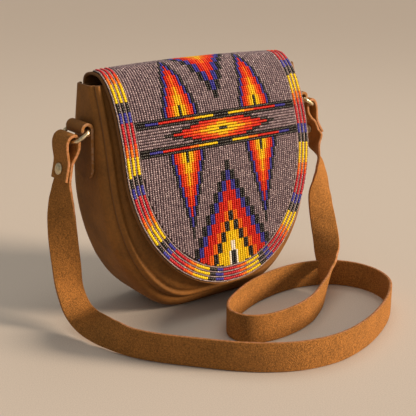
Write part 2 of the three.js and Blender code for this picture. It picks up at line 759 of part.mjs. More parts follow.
// Route of the strap from the left rivet to the right one: place, then the way its
// rear or lower edge points.
const ROUTE = [
  [[-121, 0.8, 106], [-0.22, 0.97, 0]],
  [[-121.7, 1.5, 96], [-0.48, 0.88, 0]],
  [[-121.9, 2, 83], [-0.7, 0.71, 0]],
  [[-121.4, 1.8, 66], [-0.88, 0.48, 0]],
  [[-120.4, 1, 48], [-0.95, 0.3, 0]],
  [[-119, 0, 28], [-1, 0.05, 0]],
  [[-118.2, -9, 14.8], [-0.97, 0, -0.25]],
  [[-117.8, -23, 10], [-0.86, 0, -0.5]],
  [[-117.9, -40, 10.4], [-0.64, 0, -0.77]],
  [[-116.4, -58, 11.4], [-0.3, 0, -0.95]],
  [[-111, -77.5, 11.4], [-0.04, 0, -1]],
  [[-100, -95.5, 11.4], [0, 0, -1]],
  [[-82, -117.5, 11.4], [0, 0, -1]],
  [[-64, -138, 11.4], [0, 0, -1]],
  [[-47, -152.5, 11.4], [0, 0, -1]],
  [[-27, -163.5, 11.4], [0, 0, -1]],
  [[0, -169, 11.4], [0, 0, -1]],
  [[29, -165, 11.4], [0, 0, -1]],
  [[58, -154, 11.4], [0, 0, -1]],
  [[85, -138, 11.4], [0, 0, -1]],
  [[103.5, -120, 11.4], [0, 0, -1]],
  [[110, -100, 11.4], [0, 0, -1]],
  [[106.5, -79, 11.4], [0, 0, -1]],
  [[94, -63, 11.4], [0, 0, -1]],
  [[72, -53, 11.4], [0, 0, -1]],
  [[45, -51, 11.4], [0, 0, -1]],
  [[15, -57, 11.4], [0, 0, -1]],
  [[-10, -68, 11.4], [0, 0, -1]],
  [[-28, -80, 11.4], [0, 0, -1]],
  [[-36, -93, 11.4], [0, 0, -1]],
  [[-33, -106, 11.4], [0, 0, -1]],
  [[-20, -114.5, 11.4], [0, 0, -1]],
  [[2, -116, 11.4], [0, 0, -1]],
  [[28, -110, 11.4], [0, 0, -1]],
  [[51, -97.5, 11.8], [-0.02, 0.02, -1]],
  [[72, -82.5, 14.5], [-0.16, 0.12, -0.98]],
  [[86.5, -67, 24], [-0.48, 0.36, -0.8]],
  [[96, -55, 37], [-0.74, 0.56, -0.36]],
  [[104, -42, 50], [-0.86, 0.5, -0.05]],
  [[111, -30, 65], [-0.95, 0.28, 0.06]],
  [[117.5, -23, 79], [-0.96, -0.2, 0.2]],
  [[119, -20, 91], [-0.85, -0.5, 0.2]],
  [[118.5, -17, 103], [-0.6, -0.78, 0.2]],
];

function strapLine() {
  const fold = (side) => FOLD.map(([out, down]) => ({
    place: foldPlace(side, out, down),
    edge: new THREE.Vector3(0, -side, 0),
  }));
  const middle = ROUTE.map(([place, edge]) => (
    { place: new THREE.Vector3(...place), edge: new THREE.Vector3(...edge) }
  ));
  return [...fold(-1), ...middle, ...fold(1).reverse()];
}

// Flat ribbon along the route, two steps between points where it lies on the ground.
function strapGeometry() {
  const line = strapLine();
  const path = new THREE.CatmullRomCurve3(line.map(({ place }) => place), false, 'centripetal');
  const turn = new THREE.CatmullRomCurve3(line.map(({ edge }) => edge), false, 'catmullrom', 0.3);
  const shares = [];
  line.forEach((_, i) => {
    const share = i / (line.length - 1);
    shares.push(share);
    const inFold = i < FOLD.length - 1 || i >= line.length - FOLD.length;
    if (i < line.length - 1 && !inFold) shares.push((i + 0.5) / (line.length - 1));
  });
  const half = STRAP_WIDTH / 2;
  const thick = STRAP_THICK / 2;
  const sides = [[-1, -1], [-1, 1], [1, 1], [1, -1]];
  const points = [];
  const index = [0, 1, 2, 0, 2, 3];
  shares.forEach((share, i) => {
    const place = path.getPoint(share);
    const ahead = path.getTangent(share);
    const across = turn.getPoint(share);
    across.addScaledVector(ahead, -across.dot(ahead)).normalize();
    const face = new THREE.Vector3().crossVectors(ahead, across);
    sides.forEach(([a, b], k) => {
      points.push(place.clone().addScaledVector(across, a * half).addScaledVector(face, b * thick));
      if (i === 0) return;
      const next = (k + 1) % sides.length;
      const last = (i - 1) * sides.length;
      const here = i * sides.length;
      index.push(last + k, here + k, here + next, last + k, here + next, last + next);
    });
  });
  const end = points.length - 4;
  index.push(end, end + 2, end + 1, end, end + 3, end + 2);
  const geometry = new THREE.BufferGeometry().setFromPoints(points);
  geometry.setIndex(index);
  const holes = [-1, 1].map((side) => rivetHole(side));
  return toGeometry(holes.reduce((solid, hole) => solid.subtract(hole), toSolid(facingOut(geometry))));
}

// Rivets through both layers of each folded end

function alongRivet(geometry, side) {
  const axis = foldPlace(side, 1, 0).sub(foldPlace(side, 0, 0));
  geometry.applyQuaternion(new THREE.Quaternion().setFromUnitVectors(new THREE.Vector3(0, 1, 0), axis));
  return geometry.translate(...foldPlace(side, 0, RIVET_DROP).toArray());
}

function rivetHole(side) {
  const radius = RIVET_POST / 2 + SEAT_GAP;
  return toSolid(alongRivet(new THREE.CylinderGeometry(radius, radius, 6 * STRAP_THICK, 12), side));
}

function rivetGeometry(side) {
  const face = LAYER + STRAP_THICK / 2 + SEAT_GAP;
  const head = RIVET_HEAD / 2;
  const profile = [
    [0, -face - RIVET_WASHER_THICK],
    [RIVET_WASHER / 2 - 0.4, -face - RIVET_WASHER_THICK],
    [RIVET_WASHER / 2, -face - RIVET_WASHER_THICK / 2],
    [RIVET_WASHER / 2, -face],
    [RIVET_POST / 2, -face],
    [RIVET_POST / 2, face],
    [head, face],
    [head, face + 0.35 * RIVET_DOME],
    [0.8 * head, face + 0.75 * RIVET_DOME],
    [0.45 * head, face + 0.95 * RIVET_DOME],
    [0, face + RIVET_DOME],
  ].map(([radius, height]) => new THREE.Vector2(radius, height));
  return alongRivet(welded(new THREE.LatheGeometry(profile, ROUND_SIDES)), side);
}

// Assembly

const bag = new THREE.Group();

function add(name, geometry, color, roughness = 0.75, metalness = 0) {
  const mesh = new THREE.Mesh(geometry, new THREE.MeshStandardMaterial({ color, roughness, metalness }));
  mesh.name = name;
  bag.add(mesh);
}

add('front_panel', panelGeometry(GUSSET_TOP, frontFace, BODY_LEATHER), TAN_LEATHER);
add('back_panel', panelGeometry(BACK_TOP, backFace, -BODY_LEATHER), TAN_LEATHER);
add('gusset', gussetGeometry(), TAN_LEATHER);
add('flap_tail', tailGeometry(), TAN_LEATHER);
add('flap_leather', flapSheet(flapRows(HINGE_GAP, 0), -FLAP_LEATHER, 0), TAN_LEATHER);

add('bead_border', borderGeometry(), BEAD_RED, 0.35);
add('bead_field_upper', toGeometry(upperField.ground), BEAD_GREY, 0.35);
add('bead_field_band', toGeometry(bandField.ground), BEAD_GREY, 0.35);
add('bead_field_lower', toGeometry(lowerField.ground), BEAD_GREY, 0.35);
const beadFigures = [
  ...upperField.pieces, ...barPieces('bar_upper'), ...bandField.pieces,
  ...barPieces('bar_lower'), ...lowerField.pieces,
];
for (const { name, colour, solid } of beadFigures) add(name, toGeometry(solid), colour, 0.35);

for (const [word, side] of [['left', -1], ['right', 1]]) {
  add(`tab_${word}`, tabGeometry(side), TAN_LEATHER);
  add(`d_ring_${word}`, ringGeometry(side), NICKEL, 0.35, 1);
  add(`rivet_${word}`, rivetGeometry(side), NICKEL, 0.4, 1);
}
add('strap', strapGeometry(), LIGHT_LEATHER);

export default bag;
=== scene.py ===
import math

import bpy
import numpy as np
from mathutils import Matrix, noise


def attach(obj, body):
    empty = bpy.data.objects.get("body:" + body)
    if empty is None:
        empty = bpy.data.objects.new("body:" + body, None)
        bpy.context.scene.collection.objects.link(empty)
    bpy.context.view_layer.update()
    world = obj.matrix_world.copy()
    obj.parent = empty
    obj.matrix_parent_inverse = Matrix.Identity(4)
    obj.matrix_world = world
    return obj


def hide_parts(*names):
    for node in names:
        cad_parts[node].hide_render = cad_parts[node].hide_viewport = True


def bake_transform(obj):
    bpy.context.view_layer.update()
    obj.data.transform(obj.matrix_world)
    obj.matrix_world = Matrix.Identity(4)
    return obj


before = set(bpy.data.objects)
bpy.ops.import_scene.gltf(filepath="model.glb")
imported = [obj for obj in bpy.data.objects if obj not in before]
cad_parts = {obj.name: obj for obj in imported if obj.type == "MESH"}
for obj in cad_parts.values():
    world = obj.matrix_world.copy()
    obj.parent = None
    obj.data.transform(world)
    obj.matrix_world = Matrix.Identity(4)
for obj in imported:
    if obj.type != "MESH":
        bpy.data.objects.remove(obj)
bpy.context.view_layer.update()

bl_info = {
    "name": "Beaded Crossbody Bag",
    "version": (1, 0, 0),
    "blender": (4, 5, 0),
    "location": "View3D > Sidebar > Bag",
    "description": "Dresses the packed crossbody bag in leather, beadwork and metal",
    "category": "Object",
}

MM = 0.001
SIDES = (("left", -1), ("right", 1))

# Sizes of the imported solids, in millimetres
LEATHER = 2.2
SEAT_GAP = 0.3
SEAM_HALF, SEAM_BOTTOM, GUSSET_TOP = 95.0, 11.0, 182.0
FLAT_HALF, CORNER_HEIGHT, CORNER_TOP = 28.0, 107.0, 118.0
GUSSET_FLAT, GUSSET_ROLL, GUSSET_EXTRA_ROLL = 0.62, 4.0, 7.0
FRONT_SEAM_BOTTOM, FRONT_SEAM_TOP, FRONT_RISE = -33.0, -8.5, 38.0
BACK_SEAM_BOTTOM, BACK_SEAM_TOP, BACK_PILLOW = 29.0, 17.5, 6.0
BACK_TOP, TAIL_BOTTOM = 180.0, 160.0
HINGE_Y, HINGE_Z = 20.5286, 181.0
FLAP_HALF, FLAP_SIDE, FLAP_BOTTOM_FLAT, FLAP_EDGE = 89.4, 104.0, 2.0, 1.2
FLAP_CROWN, FLAP_CROWN_START, FLAP_CLEARANCE = 2.5, 25.0, 1.0
FLAP_PROFILE = np.array([
    (0, 0), (-0.7, 4), (-4, 7.6), (-10, 10.2), (-17.5, 11.3), (-24.5, 10.3), (-31.5, 5.7),
    (-37, 0.2), (-41.5, -6.1), (-47.4, -17.5), (-51.5, -29), (-55.5, -42), (-58.5, -57),
    (-61, -75), (-64.5, -101), (-68.3, -128), (-72.4, -158)], float) + (HINGE_Y, HINGE_Z)
BEAD_START, BAND_START, BAND_END, BAND_LANES = 20.0, 74.3, 101.6, 13
FIELD_HALF, FIELD_LANES = 75.6, 70
BORDER_THIN, BORDER_BROAD = 1.2, 2.6
BORDER_WIDTH = 4 * BORDER_THIN + 3 * BORDER_BROAD
TAB_HALF, TAB_BOTTOM, TAB_LOOP_Z, TAB_LOOP_RADIUS, TAB_CORNER = 12.0, 113.0, 152.0, 5.0, 10.0
RING_X, RING_Z, RING_HALF = 104.5155, 151.0, 14.1
RING_DEPTH, RING_CORNER = 13.0, 2.4
RING_TILT, FOLD_TILT = math.radians(58), math.radians(12)
RIVET_DROP, RIVET_SHANK, RIGHT_LEAN = 21.5, 1.7, 0.011

GREY, PEARL, BLACK, BLUE, CRIMSON, RED, SCARLET, ORANGE, AMBER, YELLOW, WHITE = range(11)


def linear(code):
    """sRGB hex to linear RGBA."""
    values = [int(code[i:i + 2], 16) / 255 for i in (1, 3, 5)]
    return tuple(v / 12.92 if v <= 0.04045 else ((v + 0.055) / 1.055) ** 2.4 for v in values) + (1.0,)


# Settings a user would change

def size(name, text, default):
    return bpy.props.FloatProperty(
        name=name, description=text, default=default, min=0.0, unit="LENGTH", precision=5)


def tint(name, text, code):
    return bpy.props.FloatVectorProperty(
        name=name, description=text, default=linear(code), size=4, min=0.0, max=1.0, subtype="COLOR")


class BagSizes(bpy.types.PropertyGroup):
    lane: size("Lane pitch", "Distance between sewn lanes of beads", 2 * FIELD_HALF / FIELD_LANES * MM)
    bead_length: size("Bead length", "Length of one bead along its thread", 0.0016)
    bead_height: size("Bead height", "Height of the beads over the leather", 0.0020)
    strap_width: size("Strap width", "Width of the shoulder strap", 0.022)
    strap_thick: size("Strap thickness", "Thickness of the shoulder strap", 0.0026)
    ring_wire: size("Ring wire", "Diameter of the D-ring wire", 0.003)
    rivet_head: size("Rivet head", "Diameter of the rivet heads", 0.009)
    welt: size("Seam welt", "How far the seam edge stands proud of its groove", 0.0011)


class BagColours(bpy.types.PropertyGroup):
    leather: tint("Leather", "Oil-tanned body leather", "#95642E")
    leather_dark: tint("Leather shade", "Darker blotches in the body leather", "#714C24")
    strap: tint("Strap suede", "Nap of the strap", "#C08240")
    strap_dark: tint("Strap speckle", "Darker speckle of the strap", "#7A5428")
    # The cut edges of the body leather are coloured dark as painted shade.
    edge_painted_shade: tint("Edge painted shade", "Cut edge of the body leather, darkened as painted shade", "#6E4826")
    edge: tint("Raw edge", "Raw cut edge of the strap", "#B27A54")
    # The tabs' cut edges are coloured pale as a painted highlight.
    tab_edge_highlight: tint("Tab edge", "Edge of the side tabs, lightened as painted highlight", "#A27C5C")
    # The backing's dark colour is partly painted shade in the gaps between the beads.
    backing_and_gap_shade: tint("Bead backing", "Dark cloth behind the beads, also painted shade in the gaps", "#2A1A1A")
    thread: tint("Thread", "Waxed thread in the flap's seam", "#B98A4E")
    metal: tint("Nickel", "Worn nickel plate", "#E6D8B6")
    metal_dark: tint("Nickel shade", "Scratched nickel plate", "#B4A684")
    floor: tint("Floor", "Plain pale floor", "#E4DCD2")


# Lines and directions

def clamp01(value):
    return np.clip(value, 0.0, 1.0)


def smooth(value):
    value = clamp01(value)
    return value * value * (3 - 2 * value)


def unit(vectors):
    """Vectors brought to length one."""
    return vectors / np.linalg.norm(vectors, axis=-1, keepdims=True)


def square_to(vectors, axes):
    """Vectors with their part along unit axes taken out, brought to length one."""
    return unit(vectors - axes * np.einsum("ij,ij->i", vectors, axes)[:, None])


def running_length(points):
    """Way along a line from its start to each of its points."""
    return np.concatenate([[0], np.cumsum(np.linalg.norm(np.diff(points, axis=0), axis=1))])


def at_length(places, run, points):
    """Points at places along a line whose own points have that running length."""
    return np.stack([np.interp(places, run, column) for column in points.T], -1)


def cubic(start, end, leaving, arriving, steps):
    """Curve from start towards end with a speed at each, without its last point."""
    t = np.linspace(0, 1, steps, endpoint=False)[:, None]
    third = 2 * start - 2 * end + leaving + arriving
    second = 3 * end - 3 * start - 2 * leaving - arriving
    return third * t ** 3 + second * t * t + leaving * t + start


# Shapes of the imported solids

def seam_share(z):
    return clamp01((z - SEAM_BOTTOM) / (GUSSET_TOP - SEAM_BOTTOM))


def front_seam(z):
    return FRONT_SEAM_BOTTOM + (FRONT_SEAM_TOP - FRONT_SEAM_BOTTOM) * seam_share(z) ** 2.6


def back_seam(z):
    return BACK_SEAM_BOTTOM + (BACK_SEAM_TOP - BACK_SEAM_BOTTOM) * seam_share(z) ** 4


def seam_half(z):
    drop = clamp01((CORNER_TOP - z) / CORNER_HEIGHT)
    return FLAT_HALF + (SEAM_HALF - FLAT_HALF) * np.sqrt(1 - drop * drop)


def back_face(x, z):
    """Depth of the back panel's outer face, a shallow pillow below the flap's tail."""
    share = clamp01((z - SEAM_BOTTOM) / (TAIL_BOTTOM - SEAM_BOTTOM))
    pillow = 1 - np.minimum(1, np.abs(x) / seam_half(z)) ** 3
    return back_seam(z) + BACK_PILLOW * pillow * np.sin(np.pi * share) ** 2


def gusset_roll(z):
    return GUSSET_ROLL + GUSSET_EXTRA_ROLL * (1 - seam_share(z)) ** 2


def profile_line():
    """Points of the flap's profile, an even Catmull-Rom curve."""
    around = np.concatenate([FLAP_PROFILE[:1], FLAP_PROFILE, FLAP_PROFILE[-1:]])
    speed = (around[2:] - around[:-2]) / 2
    stretches = [cubic(FLAP_PROFILE[i], FLAP_PROFILE[i + 1], speed[i], speed[i + 1], 60)
                 for i in range(len(FLAP_PROFILE) - 1)]
    return np.concatenate(stretches + [FLAP_PROFILE[-1:]])


PROFILE = profile_line()
PROFILE_LENGTH = running_length(PROFILE)
FLAP_LENGTH = float(PROFILE_LENGTH[-1])
SLOPE_REACH = 0.4


def flap_point(across, along, out):
    """Place on the flap: across it, along its profile from the hinge, out from the leather."""
    across, along, out = np.broadcast_arrays(*(np.asarray(a, float) for a in (across, along, out)))
    along = np.clip(along, 0, FLAP_LENGTH)
    ends = np.maximum(along - SLOPE_REACH, 0), np.minimum(along + SLOPE_REACH, FLAP_LENGTH)
    middle, before, after = (at_length(place, PROFILE_LENGTH, PROFILE) for place in (along, *ends))
    slope = unit(after - before)
    lift = out - FLAP_CROWN * (across / FLAP_HALF) ** 2 * clamp01(along / FLAP_CROWN_START)
    y, z = middle[..., 0] + slope[..., 1] * lift, middle[..., 1] - slope[..., 0] * lift
    return np.stack([across, y, z], -1)


def tail_point(across, up, out):
    """Place on the strip sewn to the back panel, below the hinge by -up."""
    z = HINGE_Z + up
    y = back_face(across, np.minimum(z, BACK_TOP)) + SEAT_GAP + LEATHER + out
    return np.stack(np.broadcast_arrays(np.asarray(across, float), y, z), -1)


# Inside of the flap down its middle, which the front panel swells towards
FLAP_INSIDE = flap_point(0.0, np.linspace(BEAD_START, FLAP_LENGTH, 400), -LEATHER)


def front_face(x, z):
    """Depth of the front panel's outer face, which swells out almost to the flap."""
    flap = np.interp(z, FLAP_INSIDE[::-1, 2], FLAP_INSIDE[::-1, 1])
    rise = 1 - (1 - clamp01((z - SEAM_BOTTOM) / FRONT_RISE)) ** 2.5
    fade = 1 - 0.65 * smooth((z - CORNER_TOP) / (GUSSET_TOP - CORNER_TOP))
    room = np.maximum(0, front_seam(z) - flap - FLAP_CLEARANCE)
    pillow = 1 - np.minimum(1, np.abs(x) / seam_half(z)) ** 3.5
    return front_seam(z) - room * rise * fade * pillow


def seam_distance(x, z):
    """Distance in from the seam line in the front view."""
    wide = SEAM_HALF - FLAT_HALF
    a = np.maximum(np.abs(x) - FLAT_HALF, 0) / wide
    b = np.maximum(CORNER_TOP - z, 0) / CORNER_HEIGHT
    share = np.hypot(a, b)
    steep = np.hypot(a / wide, b / CORNER_HEIGHT) / np.maximum(share, 1e-6)
    return np.where(share > 1e-4, (1 - share) / np.maximum(steep, 1 / SEAM_HALF), SEAM_HALF)


def flap_outline(inset, count=90):
    """Half-widths of the flap's round lower end, moved in by an inset."""
    turn = np.linspace(0, np.pi / 2, count)
    wide, tall = FLAP_HALF - FLAP_BOTTOM_FLAT, FLAP_LENGTH - FLAP_SIDE
    normal = unit(np.stack([tall * np.cos(turn), wide * np.sin(turn)], -1))
    along = FLAP_SIDE + tall * np.sin(turn) - inset * normal[:, 1]
    half = FLAP_BOTTOM_FLAT + wide * np.cos(turn) - inset * normal[:, 0]
    return along, half


def half_at(along, inset):
    """Half-width of the flap at places along it."""
    rows, half = flap_outline(inset)
    return np.where(along <= rows[0], FLAP_HALF - inset, np.interp(along, rows, half, right=-1.0))


def flap_sheet(share, places, inset, trim, count, out):
    """Grid on the flap: rows at places along its straight sides, then down its round end."""
    along, half = flap_outline(inset, count)
    rows = [(place, FLAP_HALF - inset) for place in places] + list(zip(along[1:], half[1:]))
    return np.array([flap_point((wide - trim) * share, place, out) for place, wide in rows])


def dents(points, waves):
    """Depth of soft dents over points, from waves of a height, a width and a seed."""
    def ripple(width, seed):
        flat = points.reshape(-1, 3) / width + seed
        values = np.array([noise.noise(tuple(p)) for p in flat])
        return (0.5 + 0.5 * values).reshape(points.shape[:-1])

    return sum(height * ripple(width, seed) for height, width, seed in waves)


def ring_place(side, out, down, along):
    """Place on a ring: out of its plane, down from its bar and along the bar."""
    out, down, along = np.broadcast_arrays(*(np.asarray(a, float) for a in (out, down, along)))
    x = RING_X + down * math.sin(RING_TILT) + out * math.cos(RING_TILT)
    z = RING_Z - down * math.cos(RING_TILT) + out * math.sin(RING_TILT)
    return np.stack([side * x, along, z], -1)


def fold_axes(side):
    """Directions out from a folded strap end and down along it."""
    turn = (math.cos(FOLD_TILT), math.sin(FOLD_TILT))
    return np.array((side * turn[0], 0, turn[1])), np.array((side * turn[1], 0, -turn[0]))


def fold_place(side, out, down):
    """Place beside a folded strap end, measured from the ring's bow. The right end leans forward."""
    out_axis, down_axis = fold_axes(side)
    lean = -RIGHT_LEAN * np.maximum(0.0, down) ** 2 if side > 0 else 0.0
    return ring_place(side, 0.0, RING_DEPTH, lean) + out * out_axis + down * down_axis


# Mesh makers

def new_piece(name, points, faces, materials, slots=None, sharp=40):
    """Smooth mesh object from points in millimetres, with its faces turned outwards."""
    mesh = bpy.data.meshes.new(name)
    mesh.from_pydata((np.asarray(points).reshape(-1, 3) * MM).tolist(), [], faces)
    for material in materials:
        mesh.materials.append(material)
    if slots is not None:
        mesh.polygons.foreach_set("material_index", np.asarray(slots, np.int32))
    mesh.polygons.foreach_set("use_smooth", np.ones(len(mesh.polygons), bool))
    if sharp:
        mesh.set_sharp_from_angle(angle=math.radians(sharp))
    mesh.validate()
    piece = bpy.data.objects.new(name, mesh)
    bpy.context.scene.collection.objects.link(piece)
    mesh.calc_loop_triangles()
    corners = np.empty(len(mesh.loop_triangles) * 3, np.int32)
    mesh.loop_triangles.foreach_get("vertices", corners)
    places = np.empty(len(mesh.vertices) * 3)
    mesh.vertices.foreach_get("co", places)
    a, b, c = (places.reshape(-1, 3)[corners.reshape(-1, 3)[:, k]] for k in range(3))
    if np.einsum("ij,ij->i", a, np.cross(b, c)).sum() < 0:
        mesh.flip_normals()
    return piece


def grid_faces(rows, columns, start=0, flip=False):
    """Faces between the rows and columns of a grid of points."""
    corner = start + columns * np.arange(rows - 1)[:, None] + np.arange(columns - 1)
    faces = corner.reshape(-1, 1) + (0, 1, columns + 1, columns)
    return (faces[:, ::-1] if flip else faces).tolist()


def round_faces(rows, sides, closed=False):
    """Faces around rows of section points."""
    pairs = [(r, (r + 1) % rows) for r in range(rows if closed else rows - 1)]
    return [(i * sides + k, i * sides + (k + 1) % sides, j * sides + (k + 1) % sides, j * sides + k)
            for i, j in pairs for k in range(sides)]


def leather_piece(name, outer, inner, materials, bulge=0.5):
    """Sheet of leather between two grids, with a rounded cut edge in the second material."""
    rows, columns = outer.shape[:2]
    loop = [(0, c) for c in range(columns - 1)] + [(r, columns - 1) for r in range(rows - 1)]
    loop += [(rows - 1, c) for c in range(columns - 1, 0, -1)] + [(r, 0) for r in range(rows - 1, 0, -1)]
    row, column = np.array(loop).T
    out = outer[row, column] - outer[np.clip(row, 2, rows - 3), np.clip(column, 2, columns - 3)]
    out /= np.maximum(np.linalg.norm(out, axis=1, keepdims=True), 1e-9)
    rim = (outer[row, column] + inner[row, column]) / 2 + bulge * out
    count = rows * columns
    points = np.concatenate([outer.reshape(-1, 3), inner.reshape(-1, 3), rim])
    faces = grid_faces(rows, columns) + grid_faces(rows, columns, count, True)
    slots = [0] * len(faces) + [1] * (2 * len(loop))
    first = (row * columns + column).tolist()
    for i in range(len(loop)):
        j = (i + 1) % len(loop)
        faces.append((first[j], first[i], 2 * count + i, 2 * count + j))
        faces.append((2 * count + j, 2 * count + i, count + first[i], count + first[j]))
    return new_piece(name, points, faces, materials, slots, 50)


def skin(name, points, materials, slots=None, closed=False):
    """Mesh over rows of section points, capped at its ends unless it closes on itself."""
    rows, sides = points.shape[:2]
    faces = round_faces(rows, sides, closed)
    kinds = (slots or [0] * sides) * (len(faces) // sides)
    if not closed:
        faces += [tuple(range(sides))[::-1], tuple((rows - 1) * sides + k for k in range(sides))]
        kinds = kinds + ([1, 1] if slots else [0, 0])
    return new_piece(name, points, faces, materials, kinds)


def swept(line, ahead, across, section):
    """Points of a section, given across and out, carried along a line."""
    out = np.cross(ahead, across)
    wide, tall = section.T[..., None]
    return line[:, None] + wide * across[:, None] + tall * out[:, None]


def ride(piece, body, slot, *nodes):
    """Lets a piece move with a body and stand for nodes, which it hides. The slot is not used."""
    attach(piece, body)
    if nodes:
        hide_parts(*nodes)


# Materials

def add_node(tree, kind, props=None, values=None, links=None, stops=()):
    """Adds a node of that kind, or takes the one of that name, with its settings, links and shades."""
    made = tree.nodes.get(kind) or tree.nodes.new(kind)
    for name, value in (props or {}).items():
        setattr(made, name, value)
    for socket, value in (values or {}).items():
        made.inputs[socket].default_value = value
    for socket, output in (links or {}).items():
        tree.links.new(output, made.inputs[socket])
    for i, (position, colour) in enumerate(stops):
        made.color_ramp.elements[i].position = position
        made.color_ramp.elements[i].color = colour
    return made


def new_material(name):
    """Material of that name and, if it is new, its node tree and the places on its piece."""
    material = bpy.data.materials.get(name)
    if material:
        return material, None, None
    material = bpy.data.materials.new(name)
    material.use_nodes = True
    tree = material.node_tree
    return material, tree, add_node(tree, "ShaderNodeTexCoord").outputs["Object"]


def per_mm(width):
    """Texture scale for a pattern of that width in millimetres, over metres."""
    return 1000.0 / width


def leather(name, colour, dark, blotch=22.0, grain=0.9, contrast=0.5, spread=0.14, relief=0.24, nap=0.06,
            rough=0.66):
    """Oil-tanned leather: cloudy oil marks, fine pores and a dull waxy sheen, or with more nap the
    flesh side as suede. The speckle is drawn a little coarser than the real pores, so that it shows."""
    material, tree, place = new_material(name)
    if tree:
        cloud, pores = (
            add_node(tree, "ShaderNodeTexNoise", links={"Vector": place},
                     values={"Scale": per_mm(width), "Detail": detail, "Roughness": fine}).outputs["Fac"]
            for width, detail, fine in ((blotch, 4.0, 0.6), (grain * 2.4, 5.0, 0.75)))
        mixed = add_node(tree, "ShaderNodeMix", {"data_type": "FLOAT"}, {0: contrast}, {2: cloud, 3: pores})
        shade = add_node(tree, "ShaderNodeValToRGB", links={"Fac": mixed.outputs[0]},
                         stops=((0.5 - spread, dark), (0.5 + spread, colour)))
        dull = add_node(tree, "ShaderNodeMapRange", links={"Value": pores},
                        values={"To Min": rough - 0.1, "To Max": rough + 0.14})
        creases = add_node(tree, "ShaderNodeTexVoronoi", {"feature": "DISTANCE_TO_EDGE"},
                           {"Scale": per_mm(grain * 2.2)}, {"Vector": place})
        height = add_node(tree, "ShaderNodeMath", {"operation": "MULTIPLY_ADD"}, {1: 0.6},
                          {0: creases.outputs["Distance"], 2: pores})
        bump = add_node(tree, "ShaderNodeBump", links={"Height": height.outputs["Value"]},
                        values={"Strength": 0.9, "Distance": relief * MM})
        add_node(tree, "Principled BSDF",
                 values={"IOR": 1.48, "Specular IOR Level": 0.22, "Sheen Weight": nap, "Sheen Tint": colour,
                         "Sheen Roughness": 0.5},
                 links={"Base Color": shade.outputs["Color"], "Roughness": dull.outputs["Result"],
                        "Normal": bump.outputs["Normal"]})
    return material


def surface(name, grain, detail, stops, rough, relief=0.0, by_bead=False, shader=None):
    """Material with one fine pattern, its grain in millimetres. The pattern gives the shades, or each
    bead has its own, and it gives the wear where rough is a range and the relief in millimetres."""
    material, tree, place = new_material(name)
    if tree:
        fine = add_node(tree, "ShaderNodeTexNoise", links={"Vector": place},
                        values={"Scale": per_mm(grain), "Detail": detail}).outputs["Fac"]
        shades = add_node(tree, "ShaderNodeNewGeometry").outputs["Random Per Island"] if by_bead else fine
        ramp = add_node(tree, "ShaderNodeValToRGB", links={"Fac": shades}, stops=stops)
        links, values = {"Base Color": ramp.outputs["Color"]}, dict(shader or {})
        if isinstance(rough, tuple):
            worn = add_node(tree, "ShaderNodeMapRange", links={"Value": fine},
                            values={"To Min": rough[0], "To Max": rough[1]})
            links["Roughness"] = worn.outputs["Result"]
        else:
            values["Roughness"] = rough
        if relief:
            bump = add_node(tree, "ShaderNodeBump", links={"Height": fine},
                            values={"Strength": 0.4, "Distance": relief * MM})
            links["Normal"] = bump.outputs["Normal"]
        add_node(tree, "Principled BSDF", values=values, links=links)
    return material


def cut_edge(name, colour, dark):
    """Cut leather edge: fibrous and matte, pale where it is raw."""
    return surface(name, 2.2, 4.0, ((0.42, dark), (0.58, colour)), 0.85, relief=0.3)


def cloth(name, colour, rough):
    """Wool felt and linen thread: matte, with a fine uneven nap. The plain floor has it too."""
    shaded = [0.6 * c for c in colour[:3]] + [1.0]
    return surface(name, 0.8, 3.0, ((0.0, shaded), (1.0, colour)), rough)


def nickel():
    """Nickel-plated steel: polished once, now finely scratched and a little warm."""
    colours = bpy.context.scene.bag_colours
    return surface("Nickel plated steel", 1.6, 6.0, ((0.3, colours.metal_dark), (0.6, colours.metal)),
                   (0.22, 0.46), shader={"Metallic": 1.0})


# Two shades of each glass that its beads range between, and how dull it is
BEAD_TINTS = {
    GREY: ("mauve grey", "#9C898F", "#6E5D66", 0.18),
    PEARL: ("pale mauve", "#BCAAA8", "#908084", 0.18),
    BLACK: ("black", "#12100E", "#221E1C", 0.26),
    BLUE: ("blue", "#302E90", "#4A48AA", 0.34),
    CRIMSON: ("crimson", "#B41A2A", "#C62E38", 0.36),
    RED: ("red", "#C81A0E", "#DA2C18", 0.38),
    SCARLET: ("scarlet", "#DE3E08", "#EA4E10", 0.38),
    ORANGE: ("orange", "#E66E0A", "#F07E10", 0.38),
    AMBER: ("amber", "#EEB60C", "#F4C212", 0.38),
    YELLOW: ("yellow", "#EAC80E", "#F6D614", 0.38),
    WHITE: ("white", "#FCF8EE", "#EEE8DA", 0.3),
}


def bead_glass(kind):
    """Opaque seed-bead glass: pressed and fire polished, so glossy, with a little
    difference in shade from bead to bead."""
    name, colour, other, rough = BEAD_TINTS[kind]
    return surface(f"Glass bead {name}", 3.0, 2.0, ((0.0, linear(colour)), (1.0, linear(other))),
                   (rough - 0.08, rough + 0.1), by_bead=True,
                   shader={"IOR": 1.52, "Specular IOR Level": 0.5 if rough < 0.3 else 0.25})


def body_leathers():
    colours = bpy.context.scene.bag_colours
    main = leather("Oil-tanned leather", colours.leather, colours.leather_dark)
    # The panels' and the flap's cut edges take the dark edge colour, which is painted shade.
    return [main, cut_edge("Leather edge in painted shade", colours.edge_painted_shade, colours.leather_dark)]


# Bead pattern: which colour each bead has, from its lane and its place along the flap

# Places along the flap where the upper figures step, from the crest down
UPPER_FEATHER_STEPS = np.array([24.0, 28.5, 33.0, 38.0, 43.0, 51.3, 58.9, 66.7, BAND_START])
TRIANGLE_STEPS = np.array([20.0, 24.5, 29.3, 34.7, 42.0, 50.4, 57.7, 64.7])
LOWER_FEATHER_STEP, PYRAMID_START, PYRAMID_STEP = 8.3, 112.6, 8.02
